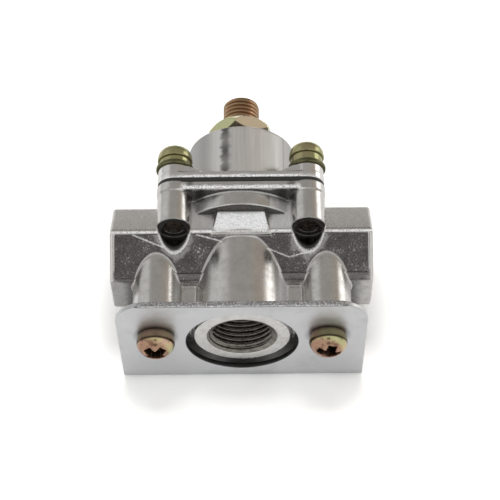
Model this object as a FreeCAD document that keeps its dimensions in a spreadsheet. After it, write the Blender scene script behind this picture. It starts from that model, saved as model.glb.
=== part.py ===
import FreeCAD, Part
import math
import os
import re
import Sketcher

# Fuel pressure regulator on its bracket, lying on the bracket's mounting leg.
# The row frame has +X to the right, +Y along the regulator from the inlet to
# the adjusting screw, and +Z up out of the mounting face.
# The regulator's own pieces are drawn upright: z runs along the regulator from
# the bracket plate's outer face, and -y is the side that ends up on top.

doc = FreeCAD.newDocument("fuel_pressure_regulator")
sheet = doc.addObject("Spreadsheet::Sheet", "Sizes")

SIZES = {
    # bracket, pressed from one sheet
    "bracket_width": 64.0,
    "bracket_sheet": 1.5,
    "bracket_plate_rise": 40.5,
    "bracket_leg_reach": 52.0,
    "bracket_bend_radius": 4.0,
    "bracket_plate_corner": 8.5,
    "bracket_leg_corner": 5.0,
    "bracket_port_hole_radius": 14.5,
    "leg_hole_radius": 2.8,
    "leg_hole_inset": 5.0,
    "leg_hole_line": 44.0,
    # place of the regulator's axis above the mounting face
    "axis_rise": 21.4,
    # port bar, a hexagon across the regulator
    "bar_overhang": 2.3,
    "bar_across_flats": 23.0,
    "bar_line": 25.8,
    "bar_panel_depth": 0.35,
    "bar_panel_border": 1.3,
    "bar_panel_low_border": 2.2,
    # bosses that carry the bracket
    "port_boss_radius": 12.6,
    "port_boss_chamfer": 0.4,
    "screw_boss_radius": 6.35,
    "screw_boss_inset": 9.9,
    "screw_boss_lift": 3.6,
    "boss_web_half_height": 4.5,
    "boss_web_gap": 1.6,
    "boss_web_overhang": 5.6,
    # pipe threads of the inlet and of both outlets
    "port_bore_radius": 8.3,
    "port_mouth_radius": 9.1,
    "port_mouth_depth": 0.9,
    "inlet_depth": 12.0,
    "inlet_cone_depth": 2.4,
    "outlet_depth": 12.5,
    "gallery_radius": 4.0,
    "well_radius": 8.2,
    "well_drop": 5.3,
    # bowl under the diaphragm
    "neck_radius": 13.3,
    "neck_window": 14.2,
    "neck_face_width": 14.8,
    "neck_face_top_width": 12.6,
    "neck_face_reach": 14.6,
    "bowl_radius": 17.8,
    "bowl_depth": 6.65,
    "bowl_cavity_radius": 15.0,
    "bowl_cavity_depth": 4.55,
    "body_flange_sheet": 2.25,
    "body_rise": 11.75,
    # corner posts and their screws
    "post_radius": 4.4,
    "post_spacing_wide": 35.0,
    "post_spacing_deep": 29.2,
    "post_relief_radius": 4.1,
    "small_thread_radius": 2.5,
    "thread_clearance": 0.05,
    "small_thread_lead": 0.5,
    "small_screw_hole_radius": 2.75,
    # diaphragm and the stack at its centre
    "diaphragm_sheet": 1.15,
    "diaphragm_sag": 1.0,
    "diaphragm_fold_margin": 0.4,
    "diaphragm_joint_width": 0.2,
    "stack_plate_radius": 10.5,
    "stack_plate_sheet": 1.2,
    "stack_lip_height": 1.0,
    "stack_lip_width": 0.7,
    "stack_hub_radius": 3.6,
    "stack_hub_depth": 1.2,
    "stem_radius": 1.5,
    "stem_overhang": 0.5,
    "stack_nut_across_flats": 5.5,
    "stack_nut_height": 2.4,
    # bonnet
    "bonnet_flange_sheet": 2.0,
    "bonnet_dome_radius": 18.6,
    "bonnet_dome_rise": 2.8,
    "bonnet_pad_rise": 4.6,
    "bonnet_ramp_length": 5.0,
    "bonnet_ramp_foot_rise": 1.6,
    "bonnet_ramp_crest_inset": 2.6,
    "bonnet_cavity_depth": 1.8,
    "tower_radius": 14.5,
    "tower_rise": 19.8,
    "tower_chamfer": 0.5,
    "tower_bore_radius": 11.6,
    "tower_roof": 5.5,
    # adjusting screw and jam nut
    "adjuster_radius": 5.0,
    "adjuster_length": 26.0,
    "adjuster_stand": 17.0,
    "adjuster_chamfer": 0.7,
    "adjuster_socket_across_flats": 5.0,
    "adjuster_socket_depth": 6.0,
    "jam_nut_across_flats": 16.6,
    "jam_nut_height": 8.0,
    "jam_nut_crown_radius": 8.2,
    "jam_nut_crown_depth": 2.0,
    "jam_nut_collar_radius": 8.1,
    "jam_nut_collar_height": 3.6,
    "jam_nut_corner_rise": 5.3,
    "jam_nut_turned_by": 9.5,
    # main spring and its upper seat
    "main_spring_radius": 8.5,
    "main_spring_wire": 1.5,
    "main_spring_turns": 3.5,
    "upper_seat_radius": 10.8,
    "upper_seat_sheet": 1.6,
    "upper_seat_spigot_radius": 7.2,
    "upper_seat_spigot_depth": 1.2,
    "upper_seat_dimple_depth": 0.5,
    "upper_seat_dimple_radius": 5.2,
    "spring_end_gap": 0.08,
    # small screws and washers
    "flat_washer_radius": 5.0,
    "flat_washer_sheet": 1.2,
    "lock_washer_radius": 4.2,
    "lock_washer_height": 1.8,
    "open_lock_washer_height": 2.6,
    "lock_washer_split": 0.5,
    "bonnet_screw_length": 17.0,
    "bonnet_head_radius": 4.65,
    "bonnet_head_height": 4.2,
    "bonnet_head_round": 2.4,
    "bonnet_recess_width": 1.2,
    "bonnet_recess_length": 4.6,
    "bonnet_recess_depth": 2.4,
    "bracket_screw_length": 11.0,
    "bracket_head_radius": 4.95,
    "bracket_head_height": 5.9,
    "bracket_head_round": 2.9,
    "bracket_recess_width": 1.5,
    "bracket_recess_length": 5.6,
    "bracket_recess_depth": 3.2,
    # valve
    "valve_thread_radius": 4.95,
    "valve_flange_radius": 6.5,
    "valve_flange_sheet": 2.4,
    "valve_gasket_sheet": 0.6,
    "valve_gasket_bore": 5.15,
    "valve_shank_length": 5.6,
    "valve_chamber_radius": 3.8,
    "valve_orifice_radius": 2.3,
    "valve_lip": 1.4,
    "valve_lift": 1.0,
    "valve_closed_gap": 0.05,
    "poppet_radius": 3.0,
    "poppet_head_sheet": 1.0,
    "poppet_seal_sheet": 0.8,
    "return_spring_radius": 2.2,
    "return_spring_wire": 0.5,
    "return_spring_turns": 3.5,
    "retainer_sheet": 0.6,
    "retainer_hole_radius": 0.7,
    "retainer_hole_circle": 2.4,
    "retainer_hole_count": 5.0,
    "press_clearance": 0.02,
}

# Places worked out from the sizes, all measured along the regulator
BAR_LENGTH = "(bracket_width + 2 * bar_overhang)"
BOSS_LINE = "(bracket_width / 2 - screw_boss_inset)"
LEG_HOLE_SIDE = "(bracket_width / 2 - leg_hole_inset)"
WELL_FLOOR = "(bar_line - well_drop)"
BODY_TOP = "(bar_line + body_rise)"
FLANGE_UNDERSIDE = "(%s - body_flange_sheet)" % BODY_TOP
BOWL_UNDERSIDE = "(%s - bowl_depth)" % BODY_TOP
BOWL_FLOOR = "(%s - bowl_cavity_depth)" % BODY_TOP
BONNET_BASE = "(%s + diaphragm_sheet)" % BODY_TOP
TOWER_TOP = "(%s + tower_rise)" % BONNET_BASE
ADJUSTER_TIP = "(%s + adjuster_stand - adjuster_length)" % TOWER_TOP

PLAIN_WORDS = {"sqrt", "cos", "sin"}
AXIS_LINES = {"x": FreeCAD.Vector(1, 0, 0), "y": FreeCAD.Vector(0, 1, 0)}
UPRIGHT_TO_LYING = FreeCAD.Rotation(AXIS_LINES["x"], -90)
SCREW_FROM_BELOW = FreeCAD.Rotation(AXIS_LINES["x"], 90)
ALONG_X = FreeCAD.Rotation(AXIS_LINES["y"], 90)
NO_TURN = FreeCAD.Rotation()
CORNERS = [(-1, -1), (1, -1), (1, 1), (-1, 1)]
subparts = []


def fill_sheet():
    for row, (name, size) in enumerate(SIZES.items(), start=1):
        sheet.set("A%d" % row, name)
        sheet.set("B%d" % row, repr(size))
        sheet.setAlias("B%d" % row, name)
    doc.recompute()


def bound(text):
    """Text of sizes and sums, with each size read from the sheet."""

    def read(match):
        word = match.group(0)
        return word if word in PLAIN_WORDS else "Sizes." + word

    return re.sub(r"[a-z][a-z_]+", read, text)


def number(text):
    return float(sheet.evalExpression(bound(text)))


def bind(thing, **sizes):
    for name, text in sizes.items():
        thing.setExpression(name, bound(text))


def move_to(thing, place, turn=NO_TURN):
    thing.Placement = FreeCAD.Placement(FreeCAD.Vector(), turn)
    for letter, text in zip("xyz", place):
        thing.setExpression("Placement.Base." + letter, bound(text))


def cylinder(name, radius, height, place=("0", "0", "0"), turn=NO_TURN):
    thing = doc.addObject("Part::Cylinder", name)
    bind(thing, Radius=radius, Height=height)
    move_to(thing, place, turn)
    return thing


def cone(name, low_radius, high_radius, height, place=("0", "0", "0"), turn=NO_TURN):
    thing = doc.addObject("Part::Cone", name)
    bind(thing, Radius1=low_radius, Radius2=high_radius, Height=height)
    move_to(thing, place, turn)
    return thing


def block(name, low, high):
    thing = doc.addObject("Part::Box", name)
    sides = ["(%s) - (%s)" % (top, bottom) for top, bottom in zip(high, low)]
    bind(thing, Length=sides[0], Width=sides[1], Height=sides[2])
    move_to(thing, low)
    return thing


def hexagon(name, across_flats, height, place=("0", "0", "0"), turn=NO_TURN):
    thing = doc.addObject("Part::Prism", name)
    thing.Polygon = 6
    bind(thing, Circumradius="(%s) / sqrt(3)" % across_flats, Height=height)
    move_to(thing, place, turn)
    return thing


def fuse(name, pieces):
    thing = doc.addObject("Part::MultiFuse", name)
    thing.Shapes = pieces
    return thing


def cut(name, base, tools):
    thing = doc.addObject("Part::Cut", name)
    thing.Base = base
    thing.Tool = tools[0] if len(tools) == 1 else fuse(name + "_tools", tools)
    return thing


def common(name, base, tool):
    thing = doc.addObject("Part::Common", name)
    thing.Base = base
    thing.Tool = tool
    return thing


def plane_of(body, role):
    return next(item for item in body.Origin.OriginFeatures if item.Role == role)


def new_sketch(body, name, role):
    sketch = body.newObject("Sketcher::SketchObject", name)
    sketch.AttachmentSupport = [(plane_of(body, role), "")]
    sketch.MapMode = "FlatFace"
    return sketch


def pin_point(sketch, line, end, across, up):
    """Fixes one end of a line to two sizes from the sheet."""
    for kind, text in (("DistanceX", across), ("DistanceY", up)):
        row = sketch.addConstraint(Sketcher.Constraint(kind, -1, 1, line, end, number(text)))
        sketch.setExpression("Constraints[%d]" % row, bound(text))


def draw_polygon(sketch, points):
    spots = [FreeCAD.Vector(number(across), number(up), 0) for across, up in points]
    count = len(points)
    for index in range(count):
        sketch.addGeometry(Part.LineSegment(spots[index], spots[(index + 1) % count]), False)
    for index in range(count):
        after = (index + 1) % count
        sketch.addConstraint(Sketcher.Constraint("Coincident", index, 2, after, 1))
    for index, (across, up) in enumerate(points):
        pin_point(sketch, index, 1, across, up)


def draw_circle(sketch, radius, across, up):
    centre = FreeCAD.Vector(number(across), number(up), 0)
    circle = Part.Circle(centre, FreeCAD.Vector(0, 0, 1), number(radius))
    index = sketch.addGeometry(circle, False)
    row = sketch.addConstraint(Sketcher.Constraint("Radius", index, number(radius)))
    sketch.setExpression("Constraints[%d]" % row, bound(radius))
    pin_point(sketch, index, 3, across, up)


def turned(name, points):
    """A piece turned about its own z axis; points are (radius, height)."""
    body = doc.addObject("PartDesign::Body", name)
    sketch = new_sketch(body, name + "_profile", "XZ_Plane")
    draw_polygon(sketch, points)
    spin = body.newObject("PartDesign::Revolution", name + "_spin")
    spin.Profile = sketch
    spin.ReferenceAxis = (sketch, ["V_Axis"])
    spin.Angle = 360.0
    doc.recompute()
    return body


def round_edges(body, name, radius, wanted):
    """Rounds the edges of a body's last feature whose middle passes the test."""
    doc.recompute()
    base = body.Tip
    names = []
    for index, edge in enumerate(base.Shape.Edges, start=1):
        if wanted(edge):
            names.append("Edge%d" % index)
    fillet = body.newObject("PartDesign::Fillet", name)
    fillet.Base = (base, names)
    bind(fillet, Radius=radius)
    doc.recompute()
    return fillet


def subpart(thing, label, across="0", front="0", along="0", turn=UPRIGHT_TO_LYING):
    """Names a piece and lays it in the row frame."""
    thing.Label = label
    move_to(thing, (across, "(%s) - leg_hole_line" % along, "axis_rise + (%s)" % front), turn)
    subparts.append(thing)
    return thing


def signed(sign, text):
    return "(%s)" % text if sign > 0 else "0 - (%s)" % text


def post_places():
    """The four screw lines, as (across, upright y) sizes."""
    for side, depth in CORNERS:
        yield signed(side, "post_spacing_wide / 2"), signed(depth, "post_spacing_deep / 2")


def rounded_plate(name, low, high):
    """Rectangle round the four posts, with the posts' radius at its corners."""
    wide = "post_spacing_wide / 2"
    deep = "post_spacing_deep / 2"
    rim = " + post_radius"
    pieces = [
        block(name + "_wide", ("0 - (%s%s)" % (wide, rim), "0 - %s" % deep, low),
              (wide + rim, deep, high)),
        block(name + "_deep", ("0 - %s" % wide, "0 - (%s%s)" % (deep, rim), low),
              (wide, deep + rim, high)),
    ]
    for number_of, (across, back) in enumerate(post_places(), start=1):
        pieces.append(cylinder("%s_corner_%d" % (name, number_of), "post_radius",
                               "(%s) - (%s)" % (high, low), (across, back, low)))
    return fuse(name, pieces)


# Bracket: a folded plate whose leg is the mounting face
def make_bracket():
    body = doc.addObject("PartDesign::Body", "bracket_sheet_metal")
    sketch = new_sketch(body, "bracket_profile", "YZ_Plane")
    draw_polygon(sketch, [
        ("0", "0"),
        ("bracket_leg_reach", "0"),
        ("bracket_leg_reach", "bracket_sheet"),
        ("bracket_sheet", "bracket_sheet"),
        ("bracket_sheet", "bracket_plate_rise"),
        ("0", "bracket_plate_rise"),
    ])
    pad = body.newObject("PartDesign::Pad", "bracket_pad")
    pad.Profile = sketch
    pad.Midplane = True
    bind(pad, Length="bracket_width")

    sheet_size = number("bracket_sheet")
    half_width = number("bracket_width / 2")
    rise = number("bracket_plate_rise")
    reach = number("bracket_leg_reach")

    def lies_at(edge, y, z):
        spot = edge.BoundBox.Center
        return abs(spot.x) < 0.01 and math.hypot(spot.y - y, spot.z - z) < 0.01

    def is_corner(edge, y, z):
        spot = edge.BoundBox.Center
        on_side = abs(abs(spot.x) - half_width) < 0.01
        return on_side and math.hypot(spot.y - y, spot.z - z) < 0.01

    round_edges(body, "bend_outside", "bracket_bend_radius", lambda edge: lies_at(edge, 0, 0))
    round_edges(body, "bend_inside", "bracket_bend_radius - bracket_sheet",
                lambda edge: lies_at(edge, sheet_size, sheet_size))
    round_edges(body, "plate_corners", "bracket_plate_corner",
                lambda edge: is_corner(edge, sheet_size / 2, rise))
    round_edges(body, "leg_corners", "bracket_leg_corner",
                lambda edge: is_corner(edge, reach, sheet_size / 2))

    plate_holes = new_sketch(body, "plate_holes", "XZ_Plane")
    draw_circle(plate_holes, "bracket_port_hole_radius", "0", "axis_rise")
    for side in (-1, 1):
        draw_circle(plate_holes, "small_screw_hole_radius",
                    signed(side, BOSS_LINE), "axis_rise + screw_boss_lift")
    pocket_through(body, plate_holes, "plate_pocket")

    leg_holes = new_sketch(body, "leg_holes", "XY_Plane")
    for side in (-1, 1):
        draw_circle(leg_holes, "leg_hole_radius", signed(side, LEG_HOLE_SIDE), "leg_hole_line")
    pocket_through(body, leg_holes, "leg_pocket")
    subpart(body, "bracket", front="0 - axis_rise", turn=NO_TURN)


def pocket_through(body, sketch, name):
    """Cuts a sketch's outline right through, both ways from its plane."""
    doc.recompute()
    before = body.Shape.Volume
    pocket = body.newObject("PartDesign::Pocket", name)
    pocket.Profile = sketch
    pocket.Midplane = True
    pocket.Type = "ThroughAll"
    doc.recompute()
    if body.Shape.Volume >= before:
        raise RuntimeError(name + " cuts nothing")


# Body casting
def bar_turn():
    corner_to_front = FreeCAD.Rotation(FreeCAD.Vector(0, 0, 1), 30)
    return ALONG_X.multiply(corner_to_front)


def make_bar():
    """Hexagonal port bar with a sunk panel in both faces beside the bosses."""
    bar = hexagon("port_bar_hex", "bar_across_flats", BAR_LENGTH,
                  ("0 - %s / 2" % BAR_LENGTH, "0", "bar_line"), bar_turn())
    panels = [bar_panel("front", -1), bar_panel("rear", 1)]
    return cut("port_bar", bar, panels)


def bar_panel(tag, side):
    """Block that sinks one face, in front (side -1) or behind (side 1)."""
    half_face = "bar_across_flats / sqrt(3) / 2"
    floor = "(bar_across_flats / 2 - bar_panel_depth)"
    start = "(%s - %s)" % (half_face, "bar_panel_low_border" if side < 0 else "bar_panel_border")
    panel = doc.addObject("Part::Box", "bar_panel_" + tag)
    bind(panel, Length=BAR_LENGTH + " - 2 * bar_panel_border",
         Width="2 * %s - bar_panel_low_border - bar_panel_border" % half_face,
         Height="2 * bar_panel_depth")
    back = "%s + sin(30) * %s" % (signed(side, "cos(30) * " + floor), start)
    along = "bar_line - sin(30) * %s + %s" % (floor, signed(side, "cos(30) * " + start))
    move_to(panel, ("bar_panel_border - %s / 2" % BAR_LENGTH, back, along),
            FreeCAD.Rotation(AXIS_LINES["x"], -120 * side))
    return panel


def body_solids():
    solids = [
        make_bar(),
        cylinder("port_boss", "port_boss_radius", "bar_line - bracket_sheet - port_boss_chamfer",
                 ("0", "0", "bracket_sheet + port_boss_chamfer")),
        cone("port_boss_edge", "port_boss_radius - port_boss_chamfer", "port_boss_radius",
             "port_boss_chamfer", ("0", "0", "bracket_sheet")),
        cylinder("neck", "neck_radius", BOWL_UNDERSIDE + " - bar_line", ("0", "0", "bar_line")),
        neck_faces(),
        cylinder("bowl", "bowl_radius", "bowl_depth", ("0", "0", BOWL_UNDERSIDE)),
        rounded_plate("body_flange", FLANGE_UNDERSIDE, BODY_TOP),
    ]
    web_reach = BOSS_LINE + " + boss_web_overhang"
    solids.append(block("boss_web",
                        ("0 - (%s)" % web_reach, "0 - boss_web_half_height",
                         "bracket_sheet + boss_web_gap"),
                        (web_reach, "boss_web_half_height", "bar_line")))
    for side in (-1, 1):
        tag = "left" if side < 0 else "right"
        solids.append(cylinder("screw_boss_" + tag, "screw_boss_radius",
                               "bar_line - bracket_sheet",
                               (signed(side, BOSS_LINE), "0 - screw_boss_lift",
                                "bracket_sheet")))
        solids.append(post_web(side, tag))
    for row, (across, back) in enumerate(post_places(), start=1):
        solids.append(cylinder("post_%d" % row, "post_radius", "body_rise",
                               (across, back, "bar_line")))
    return solids


def neck_faces():
    """Drafted block that gives the neck its flat front and rear."""
    faces = doc.addObject("Part::Wedge", "neck_faces")
    half_bar = "bar_across_flats / sqrt(3)"
    bind(faces, Xmin="0 - neck_face_width / 2", Xmax="neck_face_width / 2",
         X2min="0 - neck_face_top_width / 2", X2max="neck_face_top_width / 2",
         Ymax=BOWL_UNDERSIDE + " - bar_line", Zmin="0 - " + half_bar, Zmax=half_bar,
         Z2min="0 - neck_face_reach", Z2max="neck_face_reach")
    move_to(faces, ("0", "0", "bar_line"), FreeCAD.Rotation(AXIS_LINES["x"], 90))
    return faces


def post_web(side, tag):
    """Wall that joins the two posts of one side, beside the neck's window."""
    inner = "neck_window / 2"
    outer = "post_spacing_wide / 2"
    half_bar = "bar_across_flats / sqrt(3)"
    low, high = (inner, outer) if side > 0 else ("0 - " + outer, "0 - " + inner)
    return block("post_web_" + tag, (low, "0 - " + half_bar, "bar_line"),
                 (high, half_bar, FLANGE_UNDERSIDE))


def body_cuts():
    mouth = "bracket_sheet"
    inlet_end = "bracket_sheet + inlet_depth"
    cuts = [
        cylinder("inlet_bore", "port_bore_radius", "inlet_depth", ("0", "0", mouth)),
        cone("inlet_mouth", "port_mouth_radius", "port_bore_radius", "port_mouth_depth",
             ("0", "0", mouth)),
        cone("inlet_end", "port_bore_radius", "valve_thread_radius + thread_clearance",
             "inlet_cone_depth", ("0", "0", inlet_end)),
        cylinder("valve_hole", "valve_thread_radius + thread_clearance",
                 WELL_FLOOR + " - bracket_sheet - inlet_depth", ("0", "0", inlet_end)),
        cylinder("well", "well_radius", "body_rise + well_drop", ("0", "0", WELL_FLOOR)),
        cylinder("bowl_cavity", "bowl_cavity_radius", "bowl_cavity_depth",
                 ("0", "0", BOWL_FLOOR)),
        cylinder("gallery", "gallery_radius", BAR_LENGTH + " - 2 * outlet_depth",
                 ("outlet_depth - %s / 2" % BAR_LENGTH, "0", "bar_line"), ALONG_X),
    ]
    cuts += outlet_cuts()
    for row, (across, back) in enumerate(post_places(), start=1):
        cuts.append(cylinder("post_thread_%d" % row, "small_thread_radius + thread_clearance",
                             "body_rise", (across, back, "bar_line")))
        cuts.append(cylinder("post_relief_%d" % row, "post_relief_radius",
                             "bar_across_flats / 2", (across, back,
                                                      "bar_line - bar_across_flats / 2")))
    for side in (-1, 1):
        cuts.append(cylinder("bracket_thread_%d" % (side + 2),
                             "small_thread_radius + thread_clearance",
                             "bracket_screw_length",
                             (signed(side, BOSS_LINE), "0 - screw_boss_lift",
                              "bracket_sheet")))
    return cuts


def outlet_cuts():
    cuts = []
    for side in (-1, 1):
        tag = "left" if side < 0 else "right"
        end = signed(side, BAR_LENGTH + " / 2")
        inner = BAR_LENGTH + " / 2 - outlet_depth"
        start = inner if side > 0 else end
        cuts.append(cylinder("outlet_bore_" + tag, "port_bore_radius", "outlet_depth",
                             (start, "0", "bar_line"), ALONG_X))
        mouth_turn = FreeCAD.Rotation(AXIS_LINES["y"], -90 * side)
        cuts.append(cone("outlet_mouth_" + tag, "port_mouth_radius", "port_bore_radius",
                         "port_mouth_depth", (end, "0", "bar_line"), mouth_turn))
    return cuts


def make_body():
    solids = fuse("body_solids", body_solids())
    body = cut("body_casting", solids, body_cuts())
    subpart(body, "regulator_body")


# Bonnet casting
def bonnet_solids():
    base = BONNET_BASE
    solids = [
        rounded_plate("bonnet_flange", base, base + " + bonnet_flange_sheet"),
        cylinder("bonnet_dome", "bonnet_dome_radius", "bonnet_dome_rise", ("0", "0", base)),
        cylinder("tower", "tower_radius", "tower_rise - tower_chamfer", ("0", "0", base)),
        cone("tower_rim", "tower_radius", "tower_radius - tower_chamfer", "tower_chamfer",
             ("0", "0", TOWER_TOP + " - tower_chamfer")),
    ]
    for row, (across, back) in enumerate(post_places(), start=1):
        solids.append(cylinder("bonnet_pad_%d" % row, "post_radius", "bonnet_pad_rise",
                               (across, back, base)))
        solids.append(pad_ramp(row, CORNERS[row - 1]))
    return solids


def pad_ramp(row, corner):
    """Slope from a screw pad down towards the tower."""
    side, depth = corner
    base = BONNET_BASE
    wide = "post_spacing_wide / 2"
    inner = "%s - post_radius - bonnet_ramp_length" % wide
    edge = "post_spacing_deep / 2 + post_radius"
    body = doc.addObject("PartDesign::Body", "pad_ramp_%d" % row)
    sketch = new_sketch(body, "pad_ramp_profile_%d" % row, "XZ_Plane")
    draw_polygon(sketch, [
        (signed(side, wide), base),
        (signed(side, inner), base),
        (signed(side, inner), base + " + bonnet_ramp_foot_rise"),
        (signed(side, wide + " - bonnet_ramp_crest_inset"), base + " + bonnet_pad_rise"),
        (signed(side, wide), base + " + bonnet_pad_rise"),
    ])
    pad = body.newObject("PartDesign::Pad", "pad_ramp_pad_%d" % row)
    pad.Profile = sketch
    pad.Reversed = depth > 0
    bind(pad, Length=edge)
    return body


def bonnet_cuts():
    base = BONNET_BASE
    roof = TOWER_TOP + " - tower_roof"
    cuts = [
        cylinder("bonnet_cavity", "bowl_cavity_radius", "bonnet_cavity_depth", ("0", "0", base)),
        cylinder("tower_bore", "tower_bore_radius", "tower_rise - tower_roof",
                 ("0", "0", base)),
        cylinder("adjuster_thread", "adjuster_radius + thread_clearance", "tower_roof",
                 ("0", "0", roof)),
    ]
    for row, (across, back) in enumerate(post_places(), start=1):
        cuts.append(cylinder("bonnet_hole_%d" % row, "small_screw_hole_radius",
                             "bonnet_pad_rise", (across, back, base)))
    return cuts


def make_bonnet():
    solids = fuse("bonnet_solids", bonnet_solids())
    bonnet = cut("bonnet_casting", solids, bonnet_cuts())
    subpart(bonnet, "bonnet")


# Diaphragm and the stack clamped at its centre
def make_diaphragm():
    low = BODY_TOP
    high = BONNET_BASE
    fold_inner = "stack_plate_radius + diaphragm_fold_margin"
    fold_outer = "bowl_cavity_radius - diaphragm_fold_margin"
    joint = fold_outer + " + diaphragm_joint_width"
    edge = rounded_plate("diaphragm_edge", low, high)
    opening = cylinder("diaphragm_opening", fold_outer, "diaphragm_sheet", ("0", "0", low))
    ring = cut("diaphragm_ring", edge, [opening])
    web = turned("diaphragm_web", [
        ("stem_radius + thread_clearance", low + " - diaphragm_sag"),
        (fold_inner, low + " - diaphragm_sag"),
        (fold_outer, low),
        (joint, low),
        (joint, high),
        (fold_outer, high),
        (fold_inner, high + " - diaphragm_sag"),
        ("stem_radius + thread_clearance", high + " - diaphragm_sag"),
    ])
    sheet_solid = fuse("diaphragm_sheet_solid", [ring, web])
    holes = []
    for row, (across, back) in enumerate(post_places(), start=1):
        holes.append(cylinder("diaphragm_hole_%d" % row, "small_screw_hole_radius",
                              "diaphragm_sheet", (across, back, low)))
    subpart(cut("diaphragm_cut", sheet_solid, holes), "diaphragm")


def make_stack():
    hole = "stem_radius + thread_clearance"
    under = BODY_TOP + " - diaphragm_sag"
    over = BONNET_BASE + " - diaphragm_sag"
    lip_inner = "stack_plate_radius - stack_lip_width"
    lip_top = "stack_plate_sheet + stack_lip_height"
    lower = turned("lower_plate_turned", [
        (hole, "0 - stack_plate_sheet - stack_hub_depth"),
        ("stack_hub_radius", "0 - stack_plate_sheet - stack_hub_depth"),
        ("stack_hub_radius", "0 - stack_plate_sheet"),
        ("stack_plate_radius", "0 - stack_plate_sheet"),
        ("stack_plate_radius", "0"),
        (hole, "0"),
    ])
    subpart(lower, "lower_diaphragm_plate", along=under)
    upper = turned("upper_plate_turned", [
        (hole, "0"),
        ("stack_plate_radius", "0"),
        ("stack_plate_radius", lip_top),
        (lip_inner, lip_top),
        (lip_inner, "stack_plate_sheet"),
        (hole, "stack_plate_sheet"),
    ])
    subpart(upper, "upper_diaphragm_plate", along=over)
    nut = cut("stack_nut_cut", hexagon("stack_nut_hex", "stack_nut_across_flats",
                                       "stack_nut_height"),
              [cylinder("stack_nut_bore", hole, "stack_nut_height")])
    subpart(nut, "diaphragm_nut", along=over + " + stack_plate_sheet")


# Adjusting screw, jam nut, main spring and the spring's upper seat
def make_adjuster():
    length = "adjuster_length"
    edge = "adjuster_radius - adjuster_chamfer"
    blank = turned("adjuster_blank", [
        ("0", "0"),
        (edge, "0"),
        ("adjuster_radius", "adjuster_chamfer"),
        ("adjuster_radius", length + " - adjuster_chamfer"),
        (edge, length),
        ("0", length),
    ])
    socket = hexagon("adjuster_socket", "adjuster_socket_across_flats",
                     "adjuster_socket_depth", ("0", "0", length + " - adjuster_socket_depth"))
    subpart(cut("adjuster_cut", blank, [socket]), "adjusting_screw", along=ADJUSTER_TIP)


def make_jam_nut():
    """Nut with a round collar under its hexagon."""
    corner = "jam_nut_across_flats / sqrt(3)"
    shoulder = "jam_nut_height - jam_nut_crown_depth"
    bore = "adjuster_radius + thread_clearance"
    flats_turn = FreeCAD.Rotation(FreeCAD.Vector(0, 0, 1), -90 - number("jam_nut_turned_by"))
    flats = hexagon("jam_nut_hex", "jam_nut_across_flats", "jam_nut_height", turn=flats_turn)
    envelope = turned("jam_nut_envelope", [
        ("0", "0"),
        ("jam_nut_collar_radius", "0"),
        ("jam_nut_collar_radius", "jam_nut_collar_height"),
        (corner, "jam_nut_corner_rise"),
        (corner, shoulder),
        ("jam_nut_crown_radius", "jam_nut_height"),
        ("0", "jam_nut_height"),
    ])
    nut = cut("jam_nut_cut", common("jam_nut_crowned", flats, envelope),
              [cylinder("jam_nut_bore", bore, "jam_nut_height")])
    subpart(nut, "jam_nut", along=TOWER_TOP)


def make_upper_seat():
    thick = "upper_seat_spigot_depth + upper_seat_sheet"
    seat = turned("upper_seat_turned", [
        ("0", "0"),
        ("upper_seat_spigot_radius", "0"),
        ("upper_seat_spigot_radius", "upper_seat_spigot_depth"),
        ("upper_seat_radius", "upper_seat_spigot_depth"),
        ("upper_seat_radius", thick),
        ("upper_seat_dimple_radius", thick),
        ("upper_seat_dimple_radius", thick + " - upper_seat_dimple_depth"),
        ("0", thick + " - upper_seat_dimple_depth"),
    ])
    subpart(seat, "upper_spring_seat",
            along="%s + upper_seat_dimple_depth - (%s)" % (ADJUSTER_TIP, thick))


def coil(name, label, radius, wire, turns, low, high):
    """A wire wound between two seats, clear of both by the end gap."""
    free = "(%s) - (%s) - %s - 2 * spring_end_gap" % (high, low, wire)
    body = doc.addObject("PartDesign::Body", name)
    sketch = new_sketch(body, name + "_wire", "XZ_Plane")
    draw_circle(sketch, wire + " / 2", radius, "0")
    winding = body.newObject("PartDesign::AdditiveHelix", name + "_winding")
    winding.Profile = sketch
    winding.ReferenceAxis = (sketch, ["V_Axis"])
    winding.Mode = "pitch-height-angle"
    bind(winding, Pitch="(%s) / %s" % (free, turns), Height=free)
    doc.recompute()
    subpart(body, label, along="(%s) + spring_end_gap + %s / 2" % (low, wire))


def make_main_spring():
    low = BONNET_BASE + " - diaphragm_sag + stack_plate_sheet"
    high = ADJUSTER_TIP + " + upper_seat_dimple_depth - upper_seat_sheet"
    coil("main_spring_body", "main_spring", "main_spring_radius", "main_spring_wire",
         "main_spring_turns", low, high)


# Valve under the diaphragm
def valve_lip_underside():
    return WELL_FLOOR + " + valve_gasket_sheet + valve_flange_sheet - valve_lip"


def seal_top():
    return "(%s) - valve_lift - valve_closed_gap" % valve_lip_underside()


def poppet_base():
    return "(%s) - poppet_seal_sheet - poppet_head_sheet" % seal_top()


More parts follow.
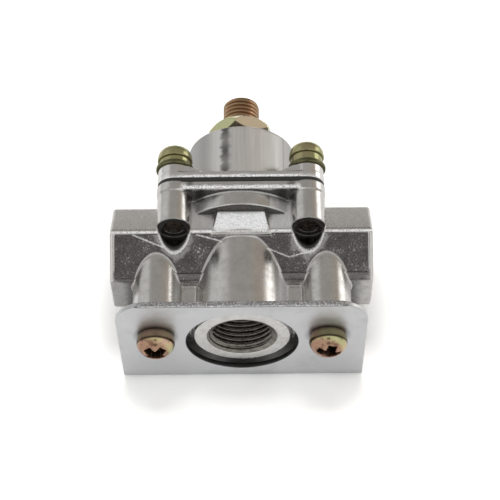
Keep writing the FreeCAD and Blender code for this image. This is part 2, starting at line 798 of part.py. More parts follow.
def make_valve():
    flange_low = WELL_FLOOR + " + valve_gasket_sheet"
    shank_low = flange_low + " - valve_shank_length"
    lip = valve_lip_underside()
    seat = turned("valve_seat_turned", [
        ("valve_chamber_radius", shank_low),
        ("valve_thread_radius", shank_low),
        ("valve_thread_radius", flange_low),
        ("valve_flange_radius", flange_low),
        ("valve_flange_radius", flange_low + " + valve_flange_sheet"),
        ("valve_orifice_radius", flange_low + " + valve_flange_sheet"),
        ("valve_orifice_radius", lip),
        ("valve_chamber_radius", lip),
    ])
    subpart(seat, "valve_seat")
    gasket = cut("valve_gasket_cut",
                 cylinder("valve_gasket_disc", "valve_flange_radius", "valve_gasket_sheet"),
                 [cylinder("valve_gasket_hole", "valve_gasket_bore", "valve_gasket_sheet")])
    subpart(gasket, "valve_seat_gasket", along=WELL_FLOOR)
    make_poppet()
    make_retainer(shank_low)
    coil("return_spring_body", "return_spring", "return_spring_radius", "return_spring_wire",
         "return_spring_turns", shank_low + " + retainer_sheet", poppet_base())


def make_poppet():
    stack_top = BONNET_BASE + " - diaphragm_sag + stack_plate_sheet + stack_nut_height"
    stem_top = "(%s) + stem_overhang - (%s)" % (stack_top, poppet_base())
    poppet = turned("poppet_turned", [
        ("0", "0"),
        ("poppet_radius", "0"),
        ("poppet_radius", "poppet_head_sheet"),
        ("stem_radius", "poppet_head_sheet"),
        ("stem_radius", stem_top),
        ("0", stem_top),
    ])
    subpart(poppet, "valve_poppet", along=poppet_base())
    seal = cut("poppet_seal_cut",
               cylinder("poppet_seal_disc", "poppet_radius", "poppet_seal_sheet"),
               [cylinder("poppet_seal_hole", "stem_radius + press_clearance",
                         "poppet_seal_sheet")])
    subpart(seal, "poppet_seal", along="(%s) - poppet_seal_sheet" % seal_top())


def make_retainer(shank_low):
    disc = cylinder("retainer_disc", "valve_chamber_radius - press_clearance",
                    "retainer_sheet")
    holes = []
    count = int(number("retainer_hole_count"))
    for row in range(count):
        angle = 360.0 * row / count
        place = ("retainer_hole_circle * cos(%.3f)" % angle,
                 "retainer_hole_circle * sin(%.3f)" % angle, "0")
        holes.append(cylinder("retainer_hole_%d" % (row + 1), "retainer_hole_radius",
                              "retainer_sheet", place))
    subpart(cut("retainer_cut", disc, holes), "spring_retainer", along=shank_low)


# Screws and washers
def pan_screw(name, kind, length):
    """Pan-head screw with a cross recess; its head stands up from z = 0."""
    head = kind + "_head_radius"
    rise = kind + "_head_height"
    blank = turned(name + "_blank", [
        ("0", "0 - %s" % length),
        ("small_thread_radius - small_thread_lead", "0 - %s" % length),
        ("small_thread_radius", "small_thread_lead - %s" % length),
        ("small_thread_radius", "0"),
        (head, "0"),
        (head, rise),
        ("0", rise),
    ])
    radius = number(head)
    height = number(rise)
    round_edges(blank, name + "_crown", kind + "_head_round",
                lambda edge: edge.Closed and abs(edge.Curve.Radius - radius) < 0.01
                and abs(edge.BoundBox.Center.z - height) < 0.01)
    half_width = kind + "_recess_width / 2"
    half_length = kind + "_recess_length / 2"
    floor = "%s - %s_recess_depth" % (rise, kind)
    recess = [
        block(name + "_recess_a", ("0 - " + half_width, "0 - " + half_length, floor),
              (half_width, half_length, rise)),
        block(name + "_recess_b", ("0 - " + half_length, "0 - " + half_width, floor),
              (half_length, half_width, rise)),
    ]
    return cut(name + "_cut", blank, recess)


def make_fasteners():
    pad_top = BONNET_BASE + " + bonnet_pad_rise"
    washer_top = pad_top + " + flat_washer_sheet"
    for row, (across, back) in enumerate(post_places(), start=1):
        front = "0 - (%s)" % back
        disc = cylinder("flat_washer_disc_%d" % row, "flat_washer_radius", "flat_washer_sheet")
        hole = cylinder("flat_washer_hole_%d" % row, "small_screw_hole_radius",
                        "flat_washer_sheet")
        subpart(cut("flat_washer_cut_%d" % row, disc, [hole]), "flat_washer_%d" % row,
                across, front, pad_top)
        subpart(lock_washer(row), "lock_washer_%d" % row, across, front, washer_top)
        subpart(pan_screw("bonnet_screw_solid_%d" % row, "bonnet", "bonnet_screw_length"),
                "bonnet_screw_%d" % row, across, front, washer_top + " + " + lock_height(row))
    for side in (-1, 1):
        tag = "left" if side < 0 else "right"
        screw = pan_screw("bracket_screw_solid_" + tag, "bracket", "bracket_screw_length")
        subpart(screw, "bracket_screw_" + tag, signed(side, BOSS_LINE), "screw_boss_lift", "0",
                SCREW_FROM_BELOW)


def lock_height(row):
    """The second screw's lock washer stands more open than the others."""
    return "open_lock_washer_height" if row == 2 else "lock_washer_height"


def lock_washer(row):
    height = lock_height(row)
    ring = cylinder("lock_washer_ring_%d" % row, "lock_washer_radius", height)
    hole = cylinder("lock_washer_hole_%d" % row, "small_screw_hole_radius", height)
    half_split = "lock_washer_split / 2"
    split = block("lock_washer_split_%d" % row,
                  ("0 - " + half_split, "0", "0"),
                  (half_split, "lock_washer_radius", height))
    return cut("lock_washer_cut_%d" % row, ring, [hole, split])


def check_objects():
    for thing in doc.Objects:
        for word in ("Invalid", "Error"):
            if word in thing.State:
                raise RuntimeError("%s is %s" % (thing.Name, word))
    for thing in subparts:
        if thing.Shape.isNull() or not thing.Shape.isValid():
            raise RuntimeError(thing.Label + " has no valid shape")
        if len(thing.Shape.Solids) != 1:
            raise RuntimeError("%s has %d solids" % (thing.Label, len(thing.Shape.Solids)))


fill_sheet()
make_bracket()
make_body()
make_bonnet()
make_diaphragm()
make_stack()
make_adjuster()
make_jam_nut()
make_upper_seat()
make_main_spring()
make_valve()
make_fasteners()
doc.recompute()
check_objects()

os.makedirs("parts", exist_ok=True)
for piece in subparts:
    piece.Shape.exportStep("parts/%s.step" % piece.Label)
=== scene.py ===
import math

import bmesh
import bpy
import numpy as np
from mathutils import Matrix, Vector


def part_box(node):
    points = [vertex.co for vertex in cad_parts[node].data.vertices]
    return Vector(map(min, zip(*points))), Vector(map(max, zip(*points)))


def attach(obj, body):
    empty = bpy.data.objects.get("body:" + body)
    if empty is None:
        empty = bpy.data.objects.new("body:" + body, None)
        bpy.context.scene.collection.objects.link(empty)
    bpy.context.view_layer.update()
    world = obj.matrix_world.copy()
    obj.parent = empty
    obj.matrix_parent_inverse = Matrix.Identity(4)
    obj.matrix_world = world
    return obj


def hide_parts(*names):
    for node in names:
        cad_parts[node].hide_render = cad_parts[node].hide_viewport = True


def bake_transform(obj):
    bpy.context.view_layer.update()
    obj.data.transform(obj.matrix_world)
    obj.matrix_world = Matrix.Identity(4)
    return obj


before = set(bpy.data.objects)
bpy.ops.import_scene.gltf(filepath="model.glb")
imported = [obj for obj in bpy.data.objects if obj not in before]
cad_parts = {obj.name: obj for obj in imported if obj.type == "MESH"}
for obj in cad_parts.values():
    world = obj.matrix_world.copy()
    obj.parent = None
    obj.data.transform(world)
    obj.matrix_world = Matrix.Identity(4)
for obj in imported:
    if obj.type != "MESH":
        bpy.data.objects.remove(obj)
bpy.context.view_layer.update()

# Fuel pressure regulator: cast body and bonnet, folded bracket, plated screws.
# Sizes are in millimetres. The regulator's own pieces are shaped in three
# coordinates: x across, a along the regulator from the bracket plate's outer
# face, and u up from the regulator's axis.
MM = 0.001


def millimetres(point):
    return [value / MM for value in point]


def centre_of(node):
    low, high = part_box(node)
    return millimetres((low + high) / 2)


def size_of(node):
    low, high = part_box(node)
    return millimetres(high - low)


# Places read from the frame
BRACKET_LOW, BRACKET_HIGH = (millimetres(corner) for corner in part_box("bracket"))
BODY_LOW, BODY_HIGH = (millimetres(corner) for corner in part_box("regulator_body"))
PLATE_FACE = BRACKET_LOW[1]
AXIS_HEIGHT = centre_of("adjusting_screw")[2]
SHEET = BODY_LOW[1] - PLATE_FACE
BODY_TOP = BODY_HIGH[1] - PLATE_FACE
BONNET_BASE = millimetres(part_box("bonnet")[0])[1] - PLATE_FACE
TOWER_TOP = millimetres(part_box("bonnet")[1])[1] - PLATE_FACE
HALF_BAR = BODY_HIGH[0]
POST_SIDE = centre_of("bonnet_screw_2")[0]
POST_DEPTH = centre_of("bonnet_screw_2")[2] - AXIS_HEIGHT
POST_RADIUS = size_of("bonnet")[0] / 2 - POST_SIDE
BOSS_SIDE = centre_of("bracket_screw_right")[0]
BOSS_LIFT = centre_of("bracket_screw_right")[2] - AXIS_HEIGHT


def span_of(node):
    """Where a node starts and ends along the regulator."""
    low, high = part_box(node)
    return low.y / MM - PLATE_FACE, high.y / MM - PLATE_FACE


ADJUSTER_SPAN = span_of("adjusting_screw")
NUT_SPAN = span_of("jam_nut")

# Body casting
BAR_LINE = 25.8
BAR_FLATS = 23.0
BAR_EDGE = 0.9
PANEL_DEPTH = 0.35
PANEL_BORDER = 1.3
PANEL_RIDGE_BORDER = 0.8
PANEL_LOW_BORDER = 2.2
PANEL_LEFT_BORDER = 0.9
PORT_BOSS_RADIUS = 12.6
SCREW_BOSS_RADIUS = 6.35
WEB_HALF_HEIGHT = 4.5
WEB_GAP = 1.6
WEB_OVERHANG = 5.6
PORT_RADIUS = 8.3
PORT_MOUTH_RADIUS = 9.1
PORT_MOUTH_DEPTH = 0.9
INLET_DEPTH = 12.0
INLET_CONE_DEPTH = 2.4
VALVE_HOLE_RADIUS = 5.0
WELL_RADIUS = 8.2
WELL_FLOOR = 20.5
OUTLET_DEPTH = 12.5
GALLERY_RADIUS = 4.0
NECK_RADIUS = 13.3
NECK_WINDOW = 14.2
NECK_FACE_FOOT = 7.4
NECK_FACE_TOP = 6.3
NECK_FACE_REACH = 14.6
BOWL_RADIUS = 17.8
BOWL_DEPTH = 6.65
BOWL_CAVITY_RADIUS = 15.0
BOWL_CAVITY_DEPTH = 4.55
BODY_FLANGE = 2.25
RELIEF_RADIUS = 4.1
SMALL_THREAD_HOLE = 2.55
SMALL_SCREW_HOLE = 2.75
HALF_RIDGE = BAR_FLATS / math.sqrt(3)
BAR_FRONT = BAR_LINE - BAR_FLATS / 2
BOWL_FOOT = BODY_TOP - BOWL_DEPTH
FLANGE_UNDERSIDE = BODY_TOP - BODY_FLANGE
# Mould creases on the sunk panel: places across and along the slanted face
CREASE_RADIUS = 0.13
CREASES = [
    ((-28.2, 5.7), (-20.6, 2.5)),
    ((-11.5, 5.6), (-4.2, 3.6)),
    ((5.4, 2.5), (12.4, -0.4)),
    ((12.4, -0.4), (17.3, 0.9)),
]

# Bonnet casting
BONNET_FLANGE = 2.0
DOME_RADIUS = 18.6
DOME_RISE = 2.8
PAD_RISE = 4.6
RAMP_LENGTH = 5.0
RAMP_FOOT_RISE = 1.6
RAMP_CREST_INSET = 2.6
RAMP_SETBACK = 0.5
BONNET_CAVITY_DEPTH = 1.8
TOWER_RADIUS = 14.5
TOWER_BORE = 11.6
TOWER_ROOF = 5.5
ROOF_UNDERSIDE = TOWER_TOP - TOWER_ROOF

# Screws, nut and threads
ADJUSTER_RADIUS = 5.0
ADJUSTER_PITCH = 1.25
ADJUSTER_CHAMFER = 0.7
SOCKET_FLATS = 5.0
SOCKET_DEPTH = 6.0
NUT_FLATS = 16.6
NUT_CROWN_RADIUS = 8.2
NUT_CROWN_DEPTH = 2.0
NUT_COLLAR_RADIUS = 8.1
NUT_COLLAR_HEIGHT = 3.6
NUT_CORNER_RISE = 5.3
NUT_TURN = math.radians(9.5)
PORT_THREAD_PITCH = 1.41
PORT_THREAD_CREST = 7.55
PORT_THREAD_ROOT = 8.45
SMALL_THREAD_RADIUS = 2.5


# Each piece's grid step and its largest number of triangles
BODY_MESH = (0.24, 190000)
BONNET_MESH = (0.22, 150000)
ADJUSTER_MESH = (0.13, 120000)
NUT_MESH = (0.13, 60000)
BONNET_SCREW_MESH = (0.13, 20000)
LOCK_WASHER_MESH = (0.13, 8000)
FLAT_WASHER_MESH = (0.14, 6000)
BRACKET_SCREW_MESH = (0.11, 40000)
# How far each grid reaches from its piece's axis
CASTING_REACH = 19.2
BONNET_SIDE_REACH = 22
NUT_REACH = 9.7
BONNET_SCREW_REACH = 4.8
BRACKET_SCREW_REACH = 5.1


# Signed distances. Each shape is a function of x, a and u that is negative
# inside the solid; the last number of a join is the size of its fillet.
def join(one, other, fillet):
    near = np.maximum(fillet - np.abs(one - other), 0) / fillet
    return np.minimum(one, other) - near * near * fillet / 4


def meet(one, other, fillet):
    return -join(-one, -other, fillet)


def remove(solid, tool, fillet):
    return meet(solid, -tool, fillet)


def span(value, low, high):
    return np.abs(value - (low + high) / 2) - (high - low) / 2


def rod(x, a, u, side, lift, radius, low, high, edge=0.3):
    """Upright cylinder whose axis runs along the regulator."""
    wall = np.hypot(x - side, u - lift) - radius
    return meet(wall, span(a, low, high), edge)


def tube_across(x, a, u, radius, low, high, edge=0.3):
    """Cylinder along the port bar."""
    return meet(np.hypot(a - BAR_LINE, u) - radius, span(x, low, high), edge)


def cone_along(x, a, u, low_radius, high_radius, low, high):
    slope = (high_radius - low_radius) / (high - low)
    wall = (np.hypot(x, u) - low_radius - slope * (a - low)) / math.hypot(1, slope)
    return np.maximum(wall, span(a, low, high))


def brick(x, a, u, x_span, a_span, u_span, edge=0.3):
    sides = meet(span(x, *x_span), span(u, *u_span), edge)
    return meet(sides, span(a, *a_span), edge)


def rounded_rectangle(x, u, side, depth, radius):
    over_side = np.maximum(np.abs(x) - side, 0)
    over_depth = np.maximum(np.abs(u) - depth, 0)
    inner = np.minimum(np.maximum(np.abs(x) - side, np.abs(u) - depth), 0)
    return np.hypot(over_side, over_depth) + inner - radius


def flange_outline(x, u):
    return rounded_rectangle(x, u, POST_SIDE, POST_DEPTH, POST_RADIUS)


def six_sides(one, other, flats, turn, edge):
    """Hexagon with a corner at the angle turn."""
    wall = None
    for step in range(3):
        angle = turn + math.radians(30 + 60 * step)
        face = np.abs(one * math.cos(angle) + other * math.sin(angle)) - flats / 2
        wall = face if wall is None else meet(wall, face, edge)
    return wall


def highest(first, *others):
    for other in others:
        first = np.maximum(first, other)
    return first


def lowest(first, *others):
    for other in others:
        first = np.minimum(first, other)
    return first


def mirrored(x):
    """One field serves both sides of the regulator."""
    return np.abs(x)


# Meshing: the zero level of a field becomes a net of four-sided faces
BLOCK = 10
CHUNK = 400000
CORNERS = [(i, j, k) for i in (0, 1) for j in (0, 1) for k in (0, 1)]
CELL_EDGES = [(m, n) for m in range(8) for n in range(m + 1, 8)
              if sum(abs(p - q) for p, q in zip(CORNERS[m], CORNERS[n])) == 1]


def evaluate(field, points):
    """Field values at rows of points, a chunk at a time."""
    values = np.empty(len(points), np.float32)
    for start in range(0, len(points), CHUNK):
        x, a, u = points[start:start + CHUNK].T
        values[start:start + CHUNK] = field(x, a, u)
    return values


def sample(field, low, high, step):
    """Field values on a grid, worked out only in the blocks near the surface."""
    blocks = [int(math.ceil((top - bottom) / (step * BLOCK))) for bottom, top in zip(low, high)]
    whole = np.stack(np.meshgrid(*[np.arange(n) for n in blocks], indexing="ij"), -1)
    whole = whole.reshape(-1, 3)
    middle = (whole + 0.5) * BLOCK * step + np.array(low)
    coarse = evaluate(field, middle.astype(np.float32))
    near = np.abs(coarse) < BLOCK * step * 1.15 + 0.5
    inner = np.stack(np.meshgrid(*[np.arange(BLOCK)] * 3, indexing="ij"), -1).reshape(-1, 3)
    grid = np.empty((len(whole), BLOCK ** 3), np.float32)
    grid[:] = np.where(coarse < 0, -1.0, 1.0)[:, None]
    places = (whole[near][:, None, :] * BLOCK + inner[None]) * step + np.array(low)
    values = evaluate(field, places.reshape(-1, 3).astype(np.float32))
    grid[near] = values.reshape(-1, BLOCK ** 3)
    grid = grid.reshape(*blocks, BLOCK, BLOCK, BLOCK).transpose(0, 3, 1, 4, 2, 5)
    return grid.reshape([n * BLOCK for n in blocks])


def crossing_points(grid, cells):
    """Mean of the places where each cell's edges cross the zero level."""
    at_corner = np.stack([grid[tuple((cells + corner).T)] for corner in CORNERS], 1)
    total = np.zeros((len(cells), 3))
    count = np.zeros(len(cells))
    for m, n in CELL_EDGES:
        one, other = at_corner[:, m], at_corner[:, n]
        crosses = (one < 0) != (other < 0)
        share = np.where(crosses, one / np.where(crosses, one - other, 1), 0)
        start, end = np.array(CORNERS[m]), np.array(CORNERS[n])
        place = start + share[:, None] * (end - start)
        total += np.where(crosses[:, None], place, 0)
        count += crosses
    return cells + total / count[:, None]


def net_faces(inside, index):
    """One face round each grid edge that the surface crosses."""
    faces = []
    for axis in range(3):
        one, other = [(1, 2), (2, 0), (0, 1)][axis]
        here = [slice(1, -1)] * 3
        there = [slice(1, -1)] * 3
        here[axis] = slice(0, -1)
        there[axis] = slice(1, None)
        low = inside[tuple(here)]
        high = inside[tuple(there)]
        places = np.argwhere(low != high)
        outward = low[low != high]
        offset = np.ones(3, int)
        offset[axis] = 0
        places = places + offset
        ring = []
        for back_one, back_other in ((1, 1), (0, 1), (0, 0), (1, 0)):
            cell = places.copy()
            cell[:, one] -= back_one
            cell[:, other] -= back_other
            ring.append(index[tuple(cell.T)])
        ring = np.stack(ring, 1)
        ring[~outward] = ring[~outward][:, ::-1]
        faces.append(ring)
    return np.concatenate(faces)


def slope_of(field, points, reach):
    slopes = []
    for axis in range(3):
        shift = np.zeros(3, np.float32)
        shift[axis] = reach
        slopes.append(evaluate(field, points + shift) - evaluate(field, points - shift))
    return np.stack(slopes, 1) / (2 * reach)


def settle(field, points, reach, rounds=2):
    """Moves points onto the zero level."""
    for _ in range(rounds):
        slopes = slope_of(field, points, reach)
        steepness = np.maximum((slopes ** 2).sum(1), 0.25)
        move = -slopes * (evaluate(field, points) / steepness)[:, None]
        length = np.linalg.norm(move, axis=1)[:, None]
        points = points + move * np.minimum(1, 2 * reach / np.maximum(length, 1e-9))
    return points.astype(np.float32)


def to_row(points):
    """Regulator coordinates in millimetres to the row frame in metres."""
    return (points + np.array([0, PLATE_FACE, AXIS_HEIGHT])) * MM


def to_regulator(points):
    return points / MM - np.array([0, PLATE_FACE, AXIS_HEIGHT])


def new_object(name, mesh):
    thing = bpy.data.objects.new(name, mesh)
    bpy.context.scene.collection.objects.link(thing)
    return thing


def thin_out(thing, triangles):
    """Joins faces where the surface is flat, down to a number of triangles."""
    thing.data.calc_loop_triangles()
    count = len(thing.data.loop_triangles)
    if count <= triangles:
        return
    lighter = thing.modifiers.new("thin", "DECIMATE")
    lighter.ratio = triangles / count
    ready = thing.evaluated_get(bpy.context.evaluated_depsgraph_get())
    mesh = bpy.data.meshes.new_from_object(ready)
    thing.modifiers.clear()
    thing.data = mesh


def vertices_of(mesh):
    flat = np.empty(len(mesh.vertices) * 3, np.float32)
    mesh.vertices.foreach_get("co", flat)
    return flat.reshape(-1, 3)


def solid(name, field, low, high, step, triangles, body="root"):
    """A piece whose surface is the zero level of a field."""
    margin = 2.5 * step
    low = np.array(low) - margin
    high = np.array(high) + margin
    grid = sample(field, low, high, step)
    inside = grid < 0
    full = np.zeros([n - 1 for n in grid.shape], np.int8)
    for i, j, k in CORNERS:
        full += inside[i:i + full.shape[0], j:j + full.shape[1], k:k + full.shape[2]]
    cells = np.argwhere((full > 0) & (full < 8))
    index = np.full(full.shape, -1, np.int32)
    index[tuple(cells.T)] = np.arange(len(cells))
    points = (crossing_points(grid, cells) * step + low).astype(np.float32)
    points = settle(field, points, step * 0.5)
    mesh = bpy.data.meshes.new(name)
    mesh.from_pydata(to_row(points), [], net_faces(inside, index))
    mesh.update()
    thing = new_object(name, mesh)
    thin_out(thing, triangles)
    shade_by_field(thing, field, step)
    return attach(thing, body)


def shade_by_field(thing, field, step):
    mesh = thing.data
    mesh.name = thing.name
    points = to_regulator(vertices_of(mesh)).astype(np.float32)
    slopes = slope_of(field, points, step * 0.5)
    slopes /= np.maximum(np.linalg.norm(slopes, axis=1), 1e-9)[:, None]
    mesh.polygons.foreach_set("use_smooth", [True] * len(mesh.polygons))
    mesh.normals_split_custom_set_from_vertices(slopes)


def paint(thing, name, shade):
    """Keeps a share from 0 to 1 at each vertex, for the material to read."""
    x, a, u = to_regulator(vertices_of(thing.data)).T
    layer = thing.data.attributes.new(name, "FLOAT", "POINT")
    values = np.clip(shade(x, a, u), 0, 1).astype(np.float32)
    layer.data.foreach_set("value", values)


def step_up(value, low, high):
    share = np.clip((value - low) / (high - low), 0, 1)
    return share * share * (3 - 2 * share)


# Body casting
def bar_field(x, a, u):
    along = a - BAR_LINE
    wall = six_sides(np.abs(u), along, BAR_FLATS, 0, BAR_EDGE)
    bar = meet(wall, span(x, -HALF_BAR, HALF_BAR), BAR_EDGE)
    bar = remove(bar, panel_field(x, a, u), 0.3)
    return join(bar, crease_field(x, a, u), 0.15)


def crease_field(x, a, u):
    over, up_face = panel_place(a, u)
    nearest = None
    for (x0, up0), (x1, up1) in CREASES:
        run_x, run_up = x1 - x0, up1 - up0
        share = ((x - x0) * run_x + (up_face - up0) * run_up) / (run_x ** 2 + run_up ** 2)
        share = np.clip(share, 0, 1)
        reach = np.sqrt((x - x0 - share * run_x) ** 2 + (up_face - up0 - share * run_up) ** 2
                        + (over + PANEL_DEPTH) ** 2) - CREASE_RADIUS
        nearest = reach if nearest is None else np.minimum(nearest, reach)
    return nearest


def panel_place(a, u):
    """Height over the bar's lower slanted face, and place along it from its middle."""
    cosine, sine = math.cos(math.radians(30)), 0.5
    along = a - BAR_LINE
    over = np.abs(u) * cosine - along * sine - BAR_FLATS / 2
    up_face = np.abs(u) * sine + along * cosine
    return over, up_face


def panel_field(x, a, u):
    """Sunk face on both lower sides of the bar."""
    over, up_face = panel_place(a, u)
    half_face = HALF_RIDGE / 2
    low_border = np.where(x < -BOSS_SIDE, PANEL_LEFT_BORDER, PANEL_LOW_BORDER)
    reach = span(up_face, -half_face + low_border, half_face - PANEL_RIDGE_BORDER)
    ends = np.abs(x) - HALF_BAR + PANEL_BORDER
    outline = meet(reach, ends, 0.4)
    return meet(outline, -over - PANEL_DEPTH, 0.3)


def body_solid_field(x, a, u):
    side = mirrored(x)
    solid_here = bar_field(x, a, u)
    port_boss = rod(x, a, u, 0, 0, PORT_BOSS_RADIUS, SHEET, BAR_LINE, 0.5)
    screw_boss = rod(side, a, u, BOSS_SIDE, BOSS_LIFT, SCREW_BOSS_RADIUS, SHEET, BAR_LINE, 0.5)
    web = brick(x, a, u, (-BOSS_SIDE - WEB_OVERHANG, BOSS_SIDE + WEB_OVERHANG),
                (SHEET + WEB_GAP, BAR_LINE), (-WEB_HALF_HEIGHT, WEB_HALF_HEIGHT), 0.6)
    bosses = join(join(port_boss, web, 0.7), screw_boss, 0.7)
    solid_here = join(solid_here, bosses, 0.45)
    return join(solid_here, head_field(x, a, u), 0.7)


def head_field(x, a, u):
    """Neck, bowl, posts with their side walls, and the flange."""
    side = mirrored(x)
    depth = np.abs(u)
    neck = rod(x, a, u, 0, 0, NECK_RADIUS, BAR_LINE, BOWL_FOOT + 1)
    bowl = rod(x, a, u, 0, 0, BOWL_RADIUS, BOWL_FOOT, BODY_TOP, 0.7)
    rise = (a - BAR_LINE) / (BOWL_FOOT - BAR_LINE)
    inner = NECK_WINDOW / 2 - (NECK_FACE_FOOT - NECK_FACE_TOP) * rise
    wall = brick(side + POST_SIDE - inner, a, u, (POST_SIDE, 3 * POST_SIDE),
                 (BAR_LINE - 0.1, FLANGE_UNDERSIDE + 1), (-HALF_RIDGE, HALF_RIDGE), 0.4)
    wall = np.maximum(wall, side - POST_SIDE)
    post = rod(side, a, depth, POST_SIDE, POST_DEPTH, POST_RADIUS, BAR_LINE, BODY_TOP, 0.35)
    plate = meet(flange_outline(x, u), span(a, FLANGE_UNDERSIDE, BODY_TOP), 0.4)
    head = join(neck, wall, 0.5)
    head = join(head, neck_face_field(x, a, u), 0.6)
    head = join(head, bowl, 0.2)
    head = join(head, post, 0.9)
    return join(head, plate, 0.8)


def neck_face_field(x, a, u):
    """Drafted block that gives the neck its flat front and rear."""
    rise = (a - BAR_LINE) / (BOWL_FOOT - BAR_LINE)
    width = NECK_FACE_FOOT + (NECK_FACE_TOP - NECK_FACE_FOOT) * rise
    reach = HALF_RIDGE + (NECK_FACE_REACH - HALF_RIDGE) * rise
    sides = meet(np.abs(x) - width, np.abs(u) - reach, 0.5)
    return meet(sides, span(a, BAR_LINE - 1, BOWL_FOOT + 0.5), 0.1) * 0.96


def body_cut_field(x, a, u):
    """Every bore, mouth and hollow of the casting."""
    side = mirrored(x)
    depth = np.abs(u)
    thread = rod(side, a, depth, POST_SIDE, POST_DEPTH, SMALL_THREAD_HOLE, BAR_LINE - 1,
                 BODY_TOP + 1)
    inlet_end = SHEET + INLET_DEPTH
    bore = rod(x, a, u, 0, 0, PORT_THREAD_ROOT, SHEET - 1, inlet_end)
    mouth = cone_along(x, a, u, PORT_MOUTH_RADIUS + 0.6, PORT_THREAD_ROOT - 0.5,
                       SHEET - 0.6, SHEET + PORT_MOUTH_DEPTH + 0.5)
    taper = cone_along(x, a, u, PORT_RADIUS, VALVE_HOLE_RADIUS, inlet_end,
                       inlet_end + INLET_CONE_DEPTH)
    valve_hole = rod(x, a, u, 0, 0, VALVE_HOLE_RADIUS, inlet_end, WELL_FLOOR + 1)
    well = rod(x, a, u, 0, 0, WELL_RADIUS, WELL_FLOOR, BODY_TOP + 1)
    cavity = rod(x, a, u, 0, 0, BOWL_CAVITY_RADIUS, BODY_TOP - BOWL_CAVITY_DEPTH, BODY_TOP + 1)
    outlet = tube_across(side, a, u, PORT_THREAD_ROOT, HALF_BAR - OUTLET_DEPTH, HALF_BAR + 1)
    gallery = tube_across(x, a, u, GALLERY_RADIUS, -HALF_BAR + 1, HALF_BAR - 1)
    screw = rod(side, a, u, BOSS_SIDE, BOSS_LIFT, SMALL_THREAD_HOLE, SHEET - 1,
                SHEET + INLET_DEPTH)
    slope = (PORT_MOUTH_RADIUS - PORT_THREAD_ROOT) / PORT_MOUTH_DEPTH
    flare = np.hypot(a - BAR_LINE, u) - PORT_MOUTH_RADIUS - slope * (side - HALF_BAR)
    flare = np.maximum(flare / math.hypot(1, slope), HALF_BAR - 1.4 - side)
    return lowest(thread, bore, mouth, taper, valve_hole, well, cavity, outlet, gallery, screw,
                  flare)


def relief_field(x, a, u):
    """Channels that run up to the posts."""
    return rod(mirrored(x), a, np.abs(u), POST_SIDE, POST_DEPTH, RELIEF_RADIUS,
               BAR_FRONT - 1, BAR_LINE)


def body_field(x, a, u):
    casting = remove(body_solid_field(x, a, u), relief_field(x, a, u), 0.65)
    return remove(casting, body_cut_field(x, a, u), 0.25)


def grain_of_body(x, a, u):
    """Sunk panels keep the grain of the mould."""
    over, up_face = panel_place(a, u)
    sunk = step_up(-over, 0.1, 0.3) * step_up(over, -1.1, -0.8)
    strip = step_up(over, -0.5, -0.2) * step_up(-up_face, HALF_RIDGE / 2 - 3.2, HALF_RIDGE / 2 - 2.6)
    low = np.maximum(sunk, 0.85 * strip)
    inside_ends = step_up(HALF_BAR - np.abs(x), 0.5, 1.4)
    face = step_up(up_face, -HALF_RIDGE / 2 - 0.2, -HALF_RIDGE / 2 + 0.3)
    under_ridge = step_up(HALF_RIDGE / 2 - up_face, 0.3, 0.8)
    return low * inside_ends * face * under_ridge * clear_of_bosses(x, u)


def clear_of_bosses(x, u):
    """Falls to nothing on the bright rims round the bosses and the post channels."""
    side = mirrored(x)
    port = np.hypot(x, u) - PORT_BOSS_RADIUS
    screw = np.hypot(side - BOSS_SIDE, u - BOSS_LIFT) - SCREW_BOSS_RADIUS
    channel = np.hypot(side - POST_SIDE, np.abs(u) - POST_DEPTH) - RELIEF_RADIUS
    return (step_up(port, 0.15, 0.4) * step_up(screw, 0.15, 0.4)
            * step_up(channel, 0.7, 1.1))


def blast_and_sheen_of_body(x, a, u):
    """The neck's flat front and rear are sand-blasted bright; painted highlights make pale matt
    bands on the bosses' right flanks and on the bar's upper face beside the neck.
    """
    front = step_up(-neck_face_field(x, a, u), -0.25, -0.05)
    outer = step_up(np.abs(u), HALF_RIDGE - 0.6, HALF_RIDGE - 0.3)
    within = step_up(NECK_FACE_FOOT - 0.25 * (a - BAR_LINE) - np.abs(x), -0.1, 0.3)
    low = step_up(a, BAR_LINE - 0.1, BAR_LINE + 0.3)
    high = step_up(BOWL_FOOT - a, -0.2, 0.1)
    neck = front * outer * within * low * high
    return highest(neck, painted_flank_highlight(x, a, u), lit_shelf(x, a, u))


def lit_shelf(x, a, u):
    """Painted highlight: the bar's upper face beside the neck is made pale and matt, more on the
    right.
    """
    along = step_up(a - BAR_LINE, 0.3, 0.8) * step_up(BAR_LINE + 9 - a, 0, 1)
    side = step_up(np.abs(x), 7.2, 7.8) * step_up(13.5 - np.abs(x), 0, 0.5)
    return along * side * step_up(u, 6, 8) * np.where(x > 0, 0.40, 0.22)


def painted_flank_highlight(x, a, u):
    """Painted highlight: a pale matt band along the upper right flank of each boss."""
    mask = np.zeros_like(x)
    bosses = ((0, 0, PORT_BOSS_RADIUS, 0.6),
              (-BOSS_SIDE, BOSS_LIFT, SCREW_BOSS_RADIUS, 0.3),
              (BOSS_SIDE, BOSS_LIFT, SCREW_BOSS_RADIUS, 0.3))
    for side, lift, radius, amount in bosses:
        reach = np.hypot(x - side, u - lift)
        share = (x - side) / radius
        skin = step_up(0.35 - np.abs(reach - radius), 0, 0.15)
        band = step_up(share, 0.68, 0.82) * step_up(1.0 - share, 0.0, 0.05)
        haze = skin * band * step_up(u - lift, 0.0, 1.0) * amount
        mask = np.maximum(mask, haze)
    return mask * step_up(BAR_LINE - 1.0 - a, 0, 1.0)


